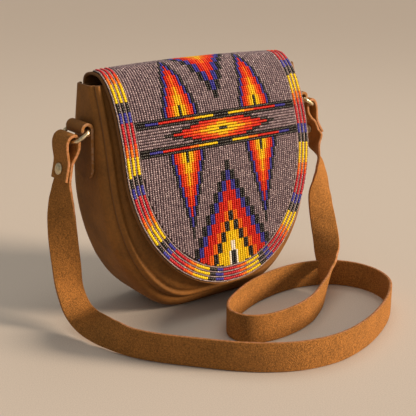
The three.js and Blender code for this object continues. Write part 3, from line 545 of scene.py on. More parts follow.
# Lane that a feather stands on, its half-width in lanes, and the pyramid's step where its checks begin
FEATHER_LANE, FEATHER_HALF, CHECKS_FROM = 16.5, 7.5, 5


def levels_above(steps, along):
    """How many steps a place lies above the lowest one, or -1 below it."""
    return len(steps) - 1 - np.searchsorted(steps, along)


def first_below(value, ends, otherwise):
    """Colour of the first end that a value lies below."""
    return np.select([value < end for _, end in ends], [kind for kind, _ in ends], otherwise)


def nested(inside, lanes, kinds):
    """Colours in bands of so many lanes from a figure's edge inwards, or -1 outside it."""
    band = np.clip(np.floor(inside / lanes), 0, len(kinds) - 1).astype(int)
    return np.where(inside < 0, -1, np.array(kinds)[band])


def feather_colours(lanes, level):
    """Feather that loses a lane on each side at every level away from the band."""
    kind = nested(FEATHER_HALF - level - lanes, 1, (BLACK, BLUE, RED, SCARLET, ORANGE, AMBER, YELLOW))
    kind = np.where((lanes < 0.5) & (level == 0), BLACK, kind)
    return np.where(level < 0, -1, kind)


def triangle_colours(lanes, along):
    """Stepped triangle that hangs from the crest, two lanes wider on each side at every step."""
    level = levels_above(TRIANGLE_STEPS, along)
    inside = np.where(level >= 0, 2 * level + 1, 0) - lanes
    return nested(inside, 2, (BLACK, BLUE, RED, SCARLET, ORANGE, AMBER))


def pyramid_colours(lanes, along):
    """Stepped pyramid on the lower border, with a chevron of dark checks inside it."""
    level = np.floor((along - PYRAMID_START) / PYRAMID_STEP)
    into = along - PYRAMID_START - PYRAMID_STEP * level
    inside = np.where(level >= 0, 2 * level + 1, 0) - lanes
    plain = nested(inside, 2, (BLACK, BLUE, RED, RED, SCARLET))
    row = level - CHECKS_FROM
    check = (row >= 0) & (np.abs(lanes - 2 * row) < 1) & (into > 0.6) & (into < 7.6)
    heart = (row >= 4) & (lanes < 1)
    white = ((row == 3) & (lanes < 1)) | ((row >= 4) & (lanes < 2))
    yellow = (row >= 1) & (lanes < 2 * row + 1)
    amber = yellow & (lanes > 2 * row - np.where(row == 1, 3, 2.2))
    orange = (row >= -1) & (lanes < 2 * row + 3)
    return np.select([inside < 4, check | heart, white, amber, yellow, orange],
                     [plain, BLACK, WHITE, AMBER, YELLOW, ORANGE], plain)


def field_colours(lane, along):
    """lane counts from the middle of the flap."""
    kind = np.full(lane.shape, GREY)
    upper = along < BAND_START
    level = np.where(upper, levels_above(UPPER_FEATHER_STEPS, along),
                     np.floor((along - BAND_END) / LOWER_FEATHER_STEP))
    for _, side in SIDES:
        found = feather_colours(np.abs(lane - side * FEATHER_LANE), level)
        kind = np.where(found >= 0, found, kind)
    middle = np.where(upper, triangle_colours(np.abs(lane), along), pyramid_colours(np.abs(lane), along))
    return np.where(middle >= 0, middle, kind)


# Half-widths of the diamond's colours in its middle row and the three rows beside it, in millimetres,
# and of the colours in the striped row of each bar
DIAMOND = (
    (BLACK, (3.6, 0, 0, 0)), (YELLOW, (16.5, 9.5, 0, 0)), (AMBER, (22, 14.5, 5, 0)),
    (ORANGE, (28, 21, 11, 4)), (SCARLET, (35, 29, 20, 12)), (RED, (44.5, 38, 28.7, 21.5)),
    (BLACK, (53, 46.5, 37, 30)))
STRIPE = ((BLACK, 7.3), (YELLOW, 18), (AMBER, 24), (ORANGE, 33), (RED, 56), (BLUE, 67))
BAR_ROWS, STRIPE_ROW = 4, 5


def band_colours(row, across):
    """row counts the level lanes from the top of the band, across is in millimetres."""
    across = np.abs(across)
    off = np.abs(row - BAND_LANES // 2)
    beside = np.minimum(off, BAR_ROWS - 1)
    diamond = first_below(across, [(kind, np.array(half)[beside]) for kind, half in DIAMOND], GREY)
    bar = np.where(off == STRIPE_ROW, first_below(across, STRIPE, BLACK), BLACK)
    return np.where(off >= BAR_ROWS, bar, diamond)


# One repeat of the border's colours: where each ends, as a share of the repeat
BORDER_RUN = (
    (BLACK, 0.135), (BLUE, 0.27), (CRIMSON, 0.55), (SCARLET, 0.62), (ORANGE, 0.72), (AMBER, 0.78),
    (YELLOW, 1.0))
BORDER_FIRST, BORDER_LAST, BORDER_REPEATS = 38.5, 33.0, 7
# The hand-sewn repeats crowd a little towards the lower right: by how many millimetres, and where,
# as shares of the border's run
BORDER_CROWD, CROWD_MIDDLE, CROWD_REACH = 7.0, 0.66, 0.15


def border_colours(run, whole):
    """run is the way along the border from its left end, in millimetres."""
    crowded = run + BORDER_CROWD * np.exp(-((run / whole - CROWD_MIDDLE) / CROWD_REACH) ** 2)
    place = (crowded - BORDER_FIRST) / (whole - BORDER_FIRST - BORDER_LAST) * BORDER_REPEATS % 1.0
    return first_below(place, BORDER_RUN, BLACK)


# Stage: the camera's place in metres and its turn in degrees, and lamps with their place, their width
# in metres or the sun's angle, their power and their colour
CAMERA_PLACE, CAMERA_DOWN, CAMERA_HEADING, CAMERA_ANGLE = (-0.4119, -0.5722, 0.2967), 17.81, -36.53, 26.03
LAMPS = (
    ("Key", "SUN", (0.95, -0.95, 0.5), math.radians(16), 5.1, "#FFE4C8"),
    ("Fill", "AREA", (-0.7, -1.3, 1.1), 1.6, 1.6, "#FFF6EE"),
    ("Top", "AREA", (0.3, 0.1, 1.3), 1.0, 5.0, "#FFF2E2"),
)
LAMPS_AIM, FLOOR_REACH = (0.0, -0.03, 0.09), 20
SKY, SKY_STRENGTH = "#EFE8DF", 0.3


class BAG_OT_stage(bpy.types.Operator):
    """Floor, soft lights and the camera"""
    bl_idname = "bag.stage"
    bl_label = "Stage"

    def execute(self, context):
        scene = context.scene
        camera = bpy.data.objects.new("Camera", bpy.data.cameras.new("Camera"))
        camera.data.angle = math.radians(CAMERA_ANGLE)
        camera.data.clip_start = 0.01
        camera.location = CAMERA_PLACE
        camera.rotation_euler = (math.radians(90 - CAMERA_DOWN), 0, math.radians(CAMERA_HEADING))
        scene.collection.objects.link(camera)
        scene.camera = camera
        mesh = bpy.data.meshes.new("Floor")
        corners = [(FLOOR_REACH * a, FLOOR_REACH * b, 0) for a, b in ((-1, -1), (1, -1), (1, 1), (-1, 1))]
        mesh.from_pydata(corners, [], [(0, 1, 2, 3)])
        mesh.materials.append(cloth("Pale studio floor", scene.bag_colours.floor, 0.8))
        floor = bpy.data.objects.new("Floor", mesh)
        scene.collection.objects.link(floor)
        for name, kind, place, width, power, code in LAMPS:
            data = bpy.data.lights.new(name, kind)
            setattr(data, "angle" if kind == "SUN" else "size", width)
            data.energy, data.color = power, linear(code)[:3]
            lamp = bpy.data.objects.new(name, data)
            lamp.location = place
            x, y, z = unit(np.array(LAMPS_AIM) - np.array(place))
            lamp.rotation_euler = (math.acos(-z), 0, math.atan2(y, x) - math.pi / 2)
            scene.collection.objects.link(lamp)
        scene.world = bpy.data.worlds.new("Studio")
        scene.world.use_nodes = True
        add_node(scene.world.node_tree, "Background", values={"Color": linear(SKY), "Strength": SKY_STRENGTH})
        # Plain colour transform, so that the dyed glass keeps its full strength
        scene.view_settings.view_transform = "Standard"
        return {"FINISHED"}


# The strap's folded ends over the rings: out from the middle plane, down from the ring's bow
LAYER = 1.48
FOLD_TOP = -4.8
FOLD = (
    (LAYER, 29.5), (LAYER, 27), (LAYER, 16), (2.5, 11.8), (4.3, 6), (4.8, 1.1), (3.6, FOLD_TOP + 2.2),
    (0, FOLD_TOP), (-3.6, FOLD_TOP + 2.2), (-4.8, 1.1), (-4.9, 6), (-3, 11.8), (-LAYER, 16), (-LAYER, 24.5),
    (-LAYER, 29.5))

# The strap's route between the rivets, in metres: down from the left one and up to the right one as
# place and edge direction, and between them lying on its edge as places on the ground
LEFT_DROP = (
    ((-0.121, 0.0008, 0.106), (-0.22, 0.97, 0)), ((-0.1217, 0.0015, 0.096), (-0.48, 0.88, 0)),
    ((-0.1219, 0.002, 0.083), (-0.7, 0.71, 0)), ((-0.1214, 0.0018, 0.066), (-0.88, 0.48, 0)),
    ((-0.1204, 0.001, 0.048), (-0.95, 0.3, 0)), ((-0.119, 0, 0.028), (-1, 0.05, 0)),
    ((-0.1182, -0.009, 0.0148), (-0.97, 0, -0.25)), ((-0.1178, -0.023, 0.010), (-0.86, 0, -0.5)),
    ((-0.1179, -0.040, 0.0104), (-0.64, 0, -0.77)), ((-0.1164, -0.058, 0.0114), (-0.3, 0, -0.95)),
    ((-0.111, -0.0775, 0.0114), (-0.04, 0, -1)))
LYING_HEIGHT = 0.0114
LYING = (
    (-0.100, -0.0955), (-0.082, -0.1175), (-0.064, -0.138), (-0.047, -0.1525), (-0.027, -0.1635), (0, -0.169),
    (0.029, -0.165), (0.058, -0.154), (0.085, -0.138), (0.1035, -0.120), (0.110, -0.100), (0.1065, -0.079),
    (0.094, -0.063), (0.072, -0.053), (0.045, -0.051), (0.015, -0.057), (-0.010, -0.068), (-0.028, -0.080),
    (-0.036, -0.093), (-0.033, -0.106), (-0.020, -0.1145), (0.002, -0.116), (0.028, -0.110))
RIGHT_RISE = (
    ((0.051, -0.0975, 0.0118), (-0.02, 0.02, -1)), ((0.072, -0.0825, 0.0145), (-0.16, 0.12, -0.98)),
    ((0.0865, -0.067, 0.024), (-0.48, 0.36, -0.8)), ((0.096, -0.055, 0.037), (-0.74, 0.56, -0.36)),
    ((0.104, -0.042, 0.050), (-0.86, 0.5, -0.05)), ((0.111, -0.030, 0.065), (-0.95, 0.28, 0.06)),
    ((0.1175, -0.023, 0.079), (-0.96, -0.2, 0.2)), ((0.119, -0.020, 0.091), (-0.85, -0.5, 0.2)),
    ((0.1185, -0.017, 0.103), (-0.6, -0.78, 0.2)))
ROUTE = LEFT_DROP + tuple(((x, y, LYING_HEIGHT), (0, 0, -1)) for x, y in LYING) + RIGHT_RISE
# Point of the route where the two halves meet, and how far apart the strap's sections are, in millimetres
SPLIT_AT, STRAP_STEP = 25, 1.6
# Corner radius of the strap's section in millimetres, and the faces of the section that are its raw edges
STRAP_ROUND, STRAP_EDGES = 0.8, (0, 6, 7, 8, 14, 15)


def strap_line():
    """Evenly spaced places, directions and edge directions of the whole strap, and the
    index where its two halves meet."""
    left, right = ([(fold_place(side, out, down), (0, -side, 0)) for out, down in FOLD] for _, side in SIDES)
    knots = left + [(np.array(place) / MM, edge) for place, edge in ROUTE] + right[::-1]
    points, edges = (np.array(values, float) for values in zip(*knots))
    last, steps = len(points) - 1, 24
    around = np.concatenate([[2 * points[0] - points[1]], points, [2 * points[last] - points[last - 1]]])
    gaps = np.maximum(np.linalg.norm(np.diff(around, axis=0), axis=1), 1e-4) ** 0.5
    share = np.linspace(0, last, last * steps + 1)
    line, turn = [], []
    for i in range(last):
        p0, p1, p2, p3 = around[i:i + 4]
        d0, d1, d2 = gaps[i:i + 3]
        leaving = ((p1 - p0) / d0 - (p2 - p0) / (d0 + d1) + (p2 - p1) / d1) * d1
        arriving = ((p2 - p1) / d1 - (p3 - p1) / (d1 + d2) + (p3 - p2) / d2) * d1
        line.append(cubic(p1, p2, leaving, arriving, steps))
        turn.append(edges[i] + (edges[i + 1] - edges[i]) * smooth(np.arange(steps) / steps)[:, None])
    line, turn = np.concatenate(line + [points[-1:]]), np.concatenate(turn + [edges[-1:]])
    run = running_length(line)
    even = np.linspace(0, run[-1], int(run[-1] / STRAP_STEP))
    line, turn, share = at_length(even, run, line), at_length(even, run, turn), np.interp(even, run, share)
    ahead = unit(np.gradient(line, axis=0))
    window = np.hanning(9)
    pad = len(window) // 2
    padded = np.concatenate([np.repeat(turn[:1], pad, 0), turn, np.repeat(turn[-1:], pad, 0)])
    turn = np.stack([np.convolve(column, window / window.sum(), "valid") for column in padded.T], -1)
    return line, ahead, square_to(turn, ahead), int(np.searchsorted(share, len(FOLD) + SPLIT_AT))


class BAG_OT_strap(bpy.types.Operator):
    """Shoulder strap: one long strip, folded over a ring at each end and riveted"""
    bl_idname = "bag.strap"
    bl_label = "Strap"

    def execute(self, context):
        sizes, colours = context.scene.bag_sizes, context.scene.bag_colours
        half, thick = (width / MM / 2 - STRAP_ROUND for width in (sizes.strap_width, sizes.strap_thick))
        corners = np.array([(half, thick), (-half, thick), (-half, -thick), (half, -thick)])
        turns = np.radians(90 * np.arange(4)[:, None] + (0, 30, 60, 90))
        section = corners[:, None] + STRAP_ROUND * np.stack([np.cos(turns), np.sin(turns)], -1)
        section = section.reshape(-1, 2)
        slots = [1 if k in STRAP_EDGES else 0 for k in range(len(section))]
        suede = leather("Suede strap leather", colours.strap, colours.strap_dark, blotch=14.0, grain=0.45,
                        contrast=0.85, spread=0.1, relief=1.2, nap=0.25, rough=0.85)
        edge = cut_edge("Cut strap edge", colours.edge, colours.leather)
        line, ahead, turn, split = strap_line()
        for (word, side), part in zip(SIDES, (slice(0, split + 1), slice(split, None))):
            points = swept(line[part], ahead[part], turn[part], section)
            piece = skin(f"strap_{word}", points, [suede, edge], slots)
            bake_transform(piece)
            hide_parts("strap")
            path = line[part] * MM
            if side > 0:
                path = path[::-1]
            self.rivet(word, side)
        return {"FINISHED"}

    def rivet(self, word, side):
        """Rivet through both layers of a folded end: a domed head outside, a washer inside."""
        sizes = bpy.context.scene.bag_sizes
        head = sizes.rivet_head / MM / 2
        face = LAYER + sizes.strap_thick / MM / 2 + SEAT_GAP
        washer = ((0.001, 1.0), (0.6 * head, 1.0), (0.85 * head, 0.8), (0.89 * head, 0.4), (0.86 * head, 0))
        dome = ((0.94 * head, 0), (head, 0.25), (0.99 * head, 0.6), (0.9 * head, 1.1), (0.7 * head, 1.55),
                (0.4 * head, 1.82), (0.001, 1.9))
        profile = [(radius, -face - out) for radius, out in washer + ((RIVET_SHANK, 0),)]
        profile += [(radius, face + out) for radius, out in ((RIVET_SHANK, 0),) + dome]
        turn = np.linspace(0, 2 * np.pi, 36, endpoint=False)
        out_axis, down_axis = fold_axes(side)
        circle = np.cos(turn)[:, None] * down_axis + np.sin(turn)[:, None] * (0, 1, 0)
        centre = fold_place(side, 0.0, RIVET_DROP)
        points = np.array([centre + out * out_axis + radius * circle for radius, out in profile])
        piece = skin(f"rivet_{word}_head", points, [nickel()])
        ride(piece, f"ring_{word}", "nickel", f"rivet_{word}")
        return piece


# Soft dents of the leather: height, width and seed of each wave, in millimetres
FRONT_DENTS = ((1.5, 46.0, 3.0), (0.5, 17.0, 9.0))
BACK_DENTS = ((1.6, 52.0, 21.0), (0.4, 18.0, 5.0))
GUSSET_DENTS = ((0.9, 34.0, 40.0), (0.35, 12.0, 2.0))
# Where the dents fade out: in from the panels' seams, up under the flap's tail, where the welt fades
# too, and on the gusset behind the tabs and towards the bottom
FRONT_CALM, BACK_CALM = 22, 24
TAIL_CALM, TAIL_CALM_FADE, TAIL_WELT, TAIL_WELT_FADE = TAIL_BOTTOM - 6, 20, TAIL_BOTTOM + 4, 10
TAB_CALM, TAB_CALM_REACH, BOTTOM_CALM = 125, 34, 14
# Beside the seam: place and reach of the welt, the stitch groove and the puckers, in from the edge
WELT_AT, WELT_REACH, GROOVE_AT, GROOVE_REACH, GROOVE_DEPTH = 2.4, 1.5, 5.8, 1.4, 1.25
PUCKER_AT, PUCKER_REACH, PUCKER_HEIGHT, PUCKER_SPACING = 9, 4, 0.22, 8.5
EDGE_DROP, EDGE_REACH = 0.9, 0.7
# Height of the stretch over the bottom seam where a panel's rows lie closer
FINE_ROWS = 26


def panel_grid(face, top, inward):
    """Outer and inner grid of a body panel whose face is a depth over the front view."""
    low = SEAM_BOTTOM + np.linspace(0, 1, 26) ** 1.6 * FINE_ROWS
    z = np.concatenate([low, np.linspace(low[-1], top, 62)[1:]])[:, None]
    x = seam_half(z) * np.sin(np.linspace(-1, 1, 97) * np.pi / 2)[None]
    z = np.broadcast_to(z, x.shape)
    return np.stack([x, face(x, z), z], -1), np.stack([x, face(x, z) + inward, z], -1)


def seam_relief(x, z):
    """Welt and stitch groove beside the seam, soft puckers next to it and a rounded edge."""
    inside = seam_distance(x, z)

    def ridge(at, reach):
        return np.exp(-((inside - at) / reach) ** 2)

    rim = bpy.context.scene.bag_sizes.welt / MM * ridge(WELT_AT, WELT_REACH)
    groove = GROOVE_DEPTH * ridge(GROOVE_AT, GROOVE_REACH)
    waves = PUCKER_HEIGHT * np.sin((np.abs(x) + z) * 2 * np.pi / PUCKER_SPACING)
    return rim - groove + waves * ridge(PUCKER_AT, PUCKER_REACH) - EDGE_DROP * ridge(0, EDGE_REACH)


class BAG_OT_body(bpy.types.Operator):
    """Front panel, back panel and the gusset between them"""
    bl_idname = "bag.body"
    bl_label = "Body"

    def execute(self, context):
        materials = body_leathers()
        self.panel("front_panel", front_face, GUSSET_TOP, -1, FRONT_DENTS, FRONT_CALM, materials)
        self.panel("back_panel", back_face, BACK_TOP, 1, BACK_DENTS, BACK_CALM, materials)
        ride(self.gusset(materials), "bag", "body_leather", "gusset")
        return {"FINISHED"}

    def panel(self, node, face, top, side, waves, calm_width, materials):
        """Panel that faces to one side, without dents near its seam and smooth under the flap's tail."""
        outer, inner = panel_grid(face, top, -side * LEATHER)
        x, z = outer[..., 0], outer[..., 2]
        calm, relief = smooth(seam_distance(x, z) / calm_width), seam_relief(x, z)
        if side > 0:
            calm = calm * smooth((TAIL_CALM - z) / TAIL_CALM_FADE)
            relief = relief * smooth((TAIL_WELT - z) / TAIL_WELT_FADE)
        depth = dents(outer, waves) * calm
        outer[..., 1] += side * (relief - depth)
        inner[..., 1] -= side * depth
        ride(leather_piece(f"{node}_leather", outer, inner, materials), "bag", "body_leather", node)

    def gusset(self, materials):
        """Strip down one side, under the bottom and up the other, rolled over towards both seams."""
        corner_z = CORNER_TOP - CORNER_HEIGHT * np.cos(np.linspace(0, np.pi / 2, 46))
        z = np.concatenate([corner_z, np.linspace(CORNER_TOP, GUSSET_TOP, 26)[1:]])
        x = seam_half(z)
        sideways = (x - FLAT_HALF) / (SEAM_HALF - FLAT_HALF) ** 2
        normal = unit(np.stack([sideways, np.minimum(0, z - CORNER_TOP) / CORNER_HEIGHT ** 2], -1))
        flat = np.linspace(-FLAT_HALF, FLAT_HALF, 15)[1:-1]
        x = np.concatenate([-x[::-1], flat, x])
        z = np.concatenate([z[::-1], np.full(flat.shape, SEAM_BOTTOM), z])
        down = np.tile((0.0, -1.0), (len(flat), 1))
        normal = np.concatenate([(normal * (-1, 1))[::-1], down, normal])
        turns = GUSSET_FLAT + (1 - GUSSET_FLAT) * np.cos(np.linspace(0, np.pi / 2, 12))
        cross = np.concatenate([-turns, np.linspace(-GUSSET_FLAT, GUSSET_FLAT, 15)[1:-1], turns[::-1]])
        lift = np.sqrt(1 - np.maximum(0, (np.abs(cross) - GUSSET_FLAT) / (1 - GUSSET_FLAT)) ** 2)
        edge = LEATHER + SEAT_GAP
        front, back = front_seam(z) + edge, back_seam(z) - edge
        y = ((front + back) / 2)[:, None] + cross[None] * ((back - front) / 2)[:, None]

        def grid(offset):
            out = gusset_roll(z)[:, None] * lift[None] + offset
            return np.stack([x[:, None] + normal[:, :1] * out, y, z[:, None] + normal[:, 1:] * out], -1)

        # No dents behind the tabs, at the edges and on the flat underside
        free = (1 - np.exp(-((z - TAB_CALM) / TAB_CALM_REACH) ** 2)) * smooth(z / BOTTOM_CALM)
        free = free[:, None] * lift[None]
        depth = dents(grid(0.0), GUSSET_DENTS) * free
        return leather_piece("gusset_leather", grid(-depth), grid(-LEATHER - depth), materials)


# How far the flap's leather stays inside its packed outline, and where its rows become wider apart
FLAP_TRIM, FLAP_FINE = 0.5, 60
# The felt's lower and upper face over the leather
FELT_BOTTOM, FELT_TOP = 0.1, 0.75
# Rows of stitches below the hinge and how far they reach to each side, and the stitches' own sizes
STITCH_ROWS, STITCH_REACH, STITCH_PITCH = (-17.0, -13.0), 87, 5.8
STITCH_LENGTH, STITCH_WIDE, STITCH_TALL, STITCH_OUT = 4.2, 0.9, 0.8, 0.12


class BAG_OT_flap(bpy.types.Operator):
    """Flap leather, from the strip sewn on the back over the crest to the front"""
    bl_idname = "bag.flap"
    bl_label = "Flap"

    def execute(self, context):
        share = np.sin(np.linspace(-1, 1, 73) * np.pi / 2)
        ups = np.linspace(TAIL_BOTTOM - HINGE_Z, -1.2, 16)
        places = np.concatenate([np.linspace(0.3, FLAP_FINE, 56), np.linspace(FLAP_FINE, FLAP_SIDE, 16)[1:]])

        def grid(out):
            tail = [tail_point((FLAP_HALF - FLAP_TRIM) * share, up, out) for up in ups]
            return np.concatenate([tail, flap_sheet(share, places, 0.0, FLAP_TRIM, 70, out)])

        piece = leather_piece("flap_leather_sheet", grid(0.0), grid(-LEATHER), body_leathers(), bulge=0.7)
        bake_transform(piece)
        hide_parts("flap_leather", "flap_tail")
        self.backing_and_gap_shade(context.scene.bag_colours)
        self.stitches(context.scene.bag_colours)
        return {"FINISHED"}

    def backing_and_gap_shade(self, colours):
        """Dark felt that the beads are sewn through. Its dark colour is also painted shade in the gaps
        between the beads.
        """
        felt = cloth("Wool felt and painted gap shade", colours.backing_and_gap_shade, 0.95)
        share = np.linspace(-1, 1, 49)
        places = np.concatenate([np.linspace(BEAD_START - SEAT_GAP, FLAP_FINE, 32),
                                 np.linspace(FLAP_FINE, FLAP_SIDE, 14)[1:]])
        top, bottom = (flap_sheet(share, places, FLAP_EDGE, 0.0, 50, out) for out in (FELT_TOP, FELT_BOTTOM))
        ride(leather_piece("bead_backing_and_gap_shade", top, bottom, [felt, felt], bulge=0.05), "flap", "beads_black")

    def stitches(self, colours):
        """Two rows of waxed thread that hold the flap to the back panel."""
        places = np.arange(-STITCH_REACH, STITCH_REACH + 0.1, STITCH_PITCH)
        across, up = np.array([(x, row) for row in STITCH_ROWS for x in places]).T
        out = unit(tail_point(across, up, 1.0) - tail_point(across, up, 0.0))
        ahead = square_to(tail_point(across + 1, up, 0.0) - tail_point(across - 1, up, 0.0), out)
        same = np.ones(len(across))
        thread = cloth("Waxed linen thread", colours.thread, 0.6)
        piece = bead_rows("tail_stitches", tail_point(across, up, STITCH_OUT), ahead, out, STITCH_WIDE * same,
                          STITCH_LENGTH * same, STITCH_TALL * same, [thread], np.zeros(len(across), int))
        ride(piece, "bag", "body_leather")


# A bead's rings along its thread: place as a share of its length, radius as a share of its own
BEAD_RINGS = ((-0.5, 0.56), (-0.25, 0.96), (0.25, 0.96), (0.5, 0.56))
BEAD_SIDES = 6
BEAD_ENDS = [(3, 2, 1, 0), (5, 4, 3, 0), (18, 19, 20, 21), (18, 21, 22, 23)]
# How much of its lane and thread a bead fills, and how much beads differ in size and place
BEAD_FILL, THREAD_FILL, BEAD_SPREAD, BEAD_SHIFT, BEAD_LIFT = 0.97, 0.98, 0.035, 0.07, 0.4
# How far a bead may reach past the end and the side of its field, as shares of its length and lane
END_REACH, SIDE_REACH = 0.3, 0.15
# Beads of the border's coloured and thin lanes against the field's: length, and height of the thin ones
BROAD_LENGTH, THIN_LENGTH, THIN_HEIGHT = 1.2, 0.75, 0.72


def bead_rows(name, centres, ahead, out, widths, lengths, heights, materials, slots):
    """All the beads or stitches of one field: small barrels that lie along their lanes."""
    turn = np.arange(BEAD_SIDES) * 2 * np.pi / BEAD_SIDES
    template = np.array([(a, r * math.cos(t), r * math.sin(t)) for a, r in BEAD_RINGS for t in turn])
    quads = round_faces(len(BEAD_RINGS), BEAD_SIDES) + BEAD_ENDS
    local = np.stack([
        lengths[:, None] * template[None, :, 0],
        widths[:, None] / 2 * template[None, :, 1],
        heights[:, None] / 2 * template[None, :, 2]], -1)
    axes = np.stack([ahead, np.cross(out, ahead), out], 1)
    points = centres[:, None] + np.einsum("bij,bjk->bik", local, axes)
    first = np.arange(len(centres)) * len(template)
    faces = (np.array(quads)[None] + first[:, None, None]).reshape(-1, 4)
    return new_piece(name, points, faces.tolist(), materials, np.repeat(slots, len(quads)), 0)


def set_on_flap(name, across, along, step_across, step_along, pitch, length, kinds, seed, tall=1.0):
    """Beads at places on the flap, threaded along the given step."""
    count = len(across)
    rng = np.random.default_rng(seed)
    grow = 1 + BEAD_SPREAD * rng.standard_normal(count)
    shift = BEAD_SHIFT * rng.standard_normal(count)
    height = (bpy.context.scene.bag_sizes.bead_height / MM - SEAT_GAP) * tall
    middle = SEAT_GAP + height / 2
    out = unit(flap_point(across, along, 1.0) - flap_point(across, along, 0.0))
    ahead = square_to(flap_point(across + step_across, along + step_along, middle)
                      - flap_point(across - step_across, along - step_along, middle), out)
    centres = flap_point(across, along, middle + BEAD_LIFT * shift) + np.cross(out, ahead) * shift[:, None]
    widths, lengths = pitch * BEAD_FILL * grow, np.ones(count) * length * THREAD_FILL
    used, slots = np.unique(kinds, return_inverse=True)
    glass = [bead_glass(kind) for kind in used.tolist()]
    return bead_rows(name, centres, ahead, out, widths, lengths, height * grow, glass, slots)


def feather_nodes(level):
    return [f"feather_{level}_{word}_{part}" for word, _ in SIDES for part in ("edge", "flame", "core")]


class BAG_OT_beads(bpy.types.Operator):
    """Sewn beadwork: upright lanes, the level band across them and the border"""
    bl_idname = "bag.beads"
    bl_label = "Beadwork"

    def execute(self, context):
        sizes = context.scene.bag_sizes
        lane, length = sizes.lane / MM, sizes.bead_length / MM
        self.upright("upper", BEAD_START, BAND_START, lane, length, 11,
                     "crest_triangle_edge", "crest_triangle_flame")
        self.upright("lower", BAND_END, FLAP_LENGTH, lane, length, 12,
                     "pyramid_edge", "pyramid_flame", "pyramid_core", "pyramid_heart")
        self.band(length)
        self.border(length)
        return {"FINISHED"}

    def upright(self, level, start, end, lane, length, seed, *figures):
        """Field of upright lanes above or below the band, with the figures sewn into it."""
        numbers = np.arange(FIELD_LANES) - (FIELD_LANES - 1) / 2
        places = np.arange(start + length / 2, end - END_REACH * length, length)
        number, along = (a.ravel() for a in np.meshgrid(numbers, places, indexing="ij"))
        room = half_at(along + END_REACH * length, FLAP_EDGE + BORDER_WIDTH)
        keep = np.abs(number) * lane + SIDE_REACH * lane <= room
        number, along = number[keep], along[keep]
        kinds = field_colours(number, along)
        piece = set_on_flap(f"beads_{level}", number * lane, along, 0.0, 0.5, lane, length, kinds, seed)
        ride(piece, "flap", "beads_grey", f"bead_field_{level}", *figures, *feather_nodes(level))

    def band(self, length):
        """Level lanes across the flap, with a diamond between two striped bars."""
        lane = (BAND_END - BAND_START) / BAND_LANES
        places = np.arange(-FIELD_HALF + length / 2, FIELD_HALF, length)
        row, across = (a.ravel() for a in np.meshgrid(np.arange(BAND_LANES), places, indexing="ij"))
        along = BAND_START + (row + 0.5) * lane
        kinds = band_colours(row, across)
        piece = set_on_flap("beads_band", across, along, 0.5, 0.0, lane, length, kinds, 13)
        bars = [f"bar_{level}{part}" for level in ("upper", "lower")
                for part in ("", "_flame_left", "_flame_right")]
        ride(piece, "flap", "beads_grey", "bead_field_band", "diamond_flame", "diamond_core", *bars)

    def border(self, length):
        """Three coloured lanes between four thin grey ones, followed round the flap's edge."""
        straight = np.linspace(BEAD_START, FLAP_SIDE, 120)[:-1]

        def lane_path(inset):
            along, half = flap_outline(inset, 400)
            along = np.concatenate([straight, along])
            half = np.concatenate([np.full(len(straight), FLAP_HALF - inset), half])
            path = np.stack([np.concatenate([-half, half[::-1]]), np.concatenate([along, along[::-1]])], -1)
            return path, running_length(path)

        _, middle_run = lane_path(FLAP_EDGE + BORDER_WIDTH / 2)
        gathered, offset = [], FLAP_EDGE
        for width in [BORDER_THIN, BORDER_BROAD] * 3 + [BORDER_THIN]:
            path, run = lane_path(offset + width / 2)
            broad = width == BORDER_BROAD
            step = length * (BROAD_LENGTH if broad else THIN_LENGTH)
            places = np.arange(step / 2, run[-1], step)
            ahead = at_length(places + SLOPE_REACH, run, path) - at_length(places - SLOPE_REACH, run, path)
            same = np.ones(len(places))
            kinds, tall = np.full(len(places), PEARL), THIN_HEIGHT * same
            if broad:
                kinds, tall = border_colours(np.interp(places, run, middle_run), middle_run[-1]), same
            at = at_length(places, run, path)
            gathered.append((*at.T, *ahead.T, width * same, step * same, kinds, tall))
            offset += width
        *places, kinds, tall = (np.concatenate(values) for values in zip(*gathered))
        ride(set_on_flap("beads_border", *places, kinds, 14, tall), "flap", "beads_red", "bead_border")


# Angle in degrees where a tab's loop ends, and how far its cut edge is rounded out
TAB_LOOP_END, TAB_BULGE = -116, 0.4


class BAG_OT_tabs(bpy.types.Operator):
    """Leather tabs on the gusset, curled into loops for the rings"""
    bl_idname = "bag.tabs"
    bl_label = "Side tabs"

    def execute(self, context):
        colours = context.scene.bag_colours
        # The tab's cut edge has a pale colour, which is a painted highlight.
        materials = [body_leathers()[0], cut_edge("Tab edge with painted highlight", colours.tab_edge_highlight, colours.leather)]
        low = np.linspace(TAB_BOTTOM, TAB_LOOP_Z, 26)[:-1]
        strip = np.stack([seam_half(low) + gusset_roll(low) + SEAT_GAP + LEATHER / 2, low], -1)
        turn = np.radians(np.linspace(180, TAB_LOOP_END, 34))
        radius = TAB_LOOP_RADIUS - LEATHER / 2
        loop = np.stack([RING_X + radius * np.cos(turn), TAB_LOOP_Z + radius * np.sin(turn)], -1)
        line = np.concatenate([strip, loop])
        slope = unit(np.gradient(line, axis=0))
        normal = np.stack([-slope[:, 1], slope[:, 0]], -1)
        left = np.maximum(TAB_CORNER - running_length(line), 0)
        half = TAB_HALF - TAB_BULGE - TAB_CORNER + np.sqrt(TAB_CORNER ** 2 - left ** 2)
        y = half[:, None] * np.sin(np.linspace(-1, 1, 17) * np.pi / 2)[None]

        def grid(side, offset):
            at = line + offset * normal
            return np.stack(np.broadcast_arrays(side * at[:, :1], y, at[:, 1:]), -1)

        for word, side in SIDES:
            outer, inner = grid(side, LEATHER / 2), grid(side, -LEATHER / 2)
            piece = leather_piece(f"tab_{word}_leather", outer, inner, materials, TAB_BULGE)
            ride(piece, "bag", "body_leather", f"tab_{word}")
        return {"FINISHED"}


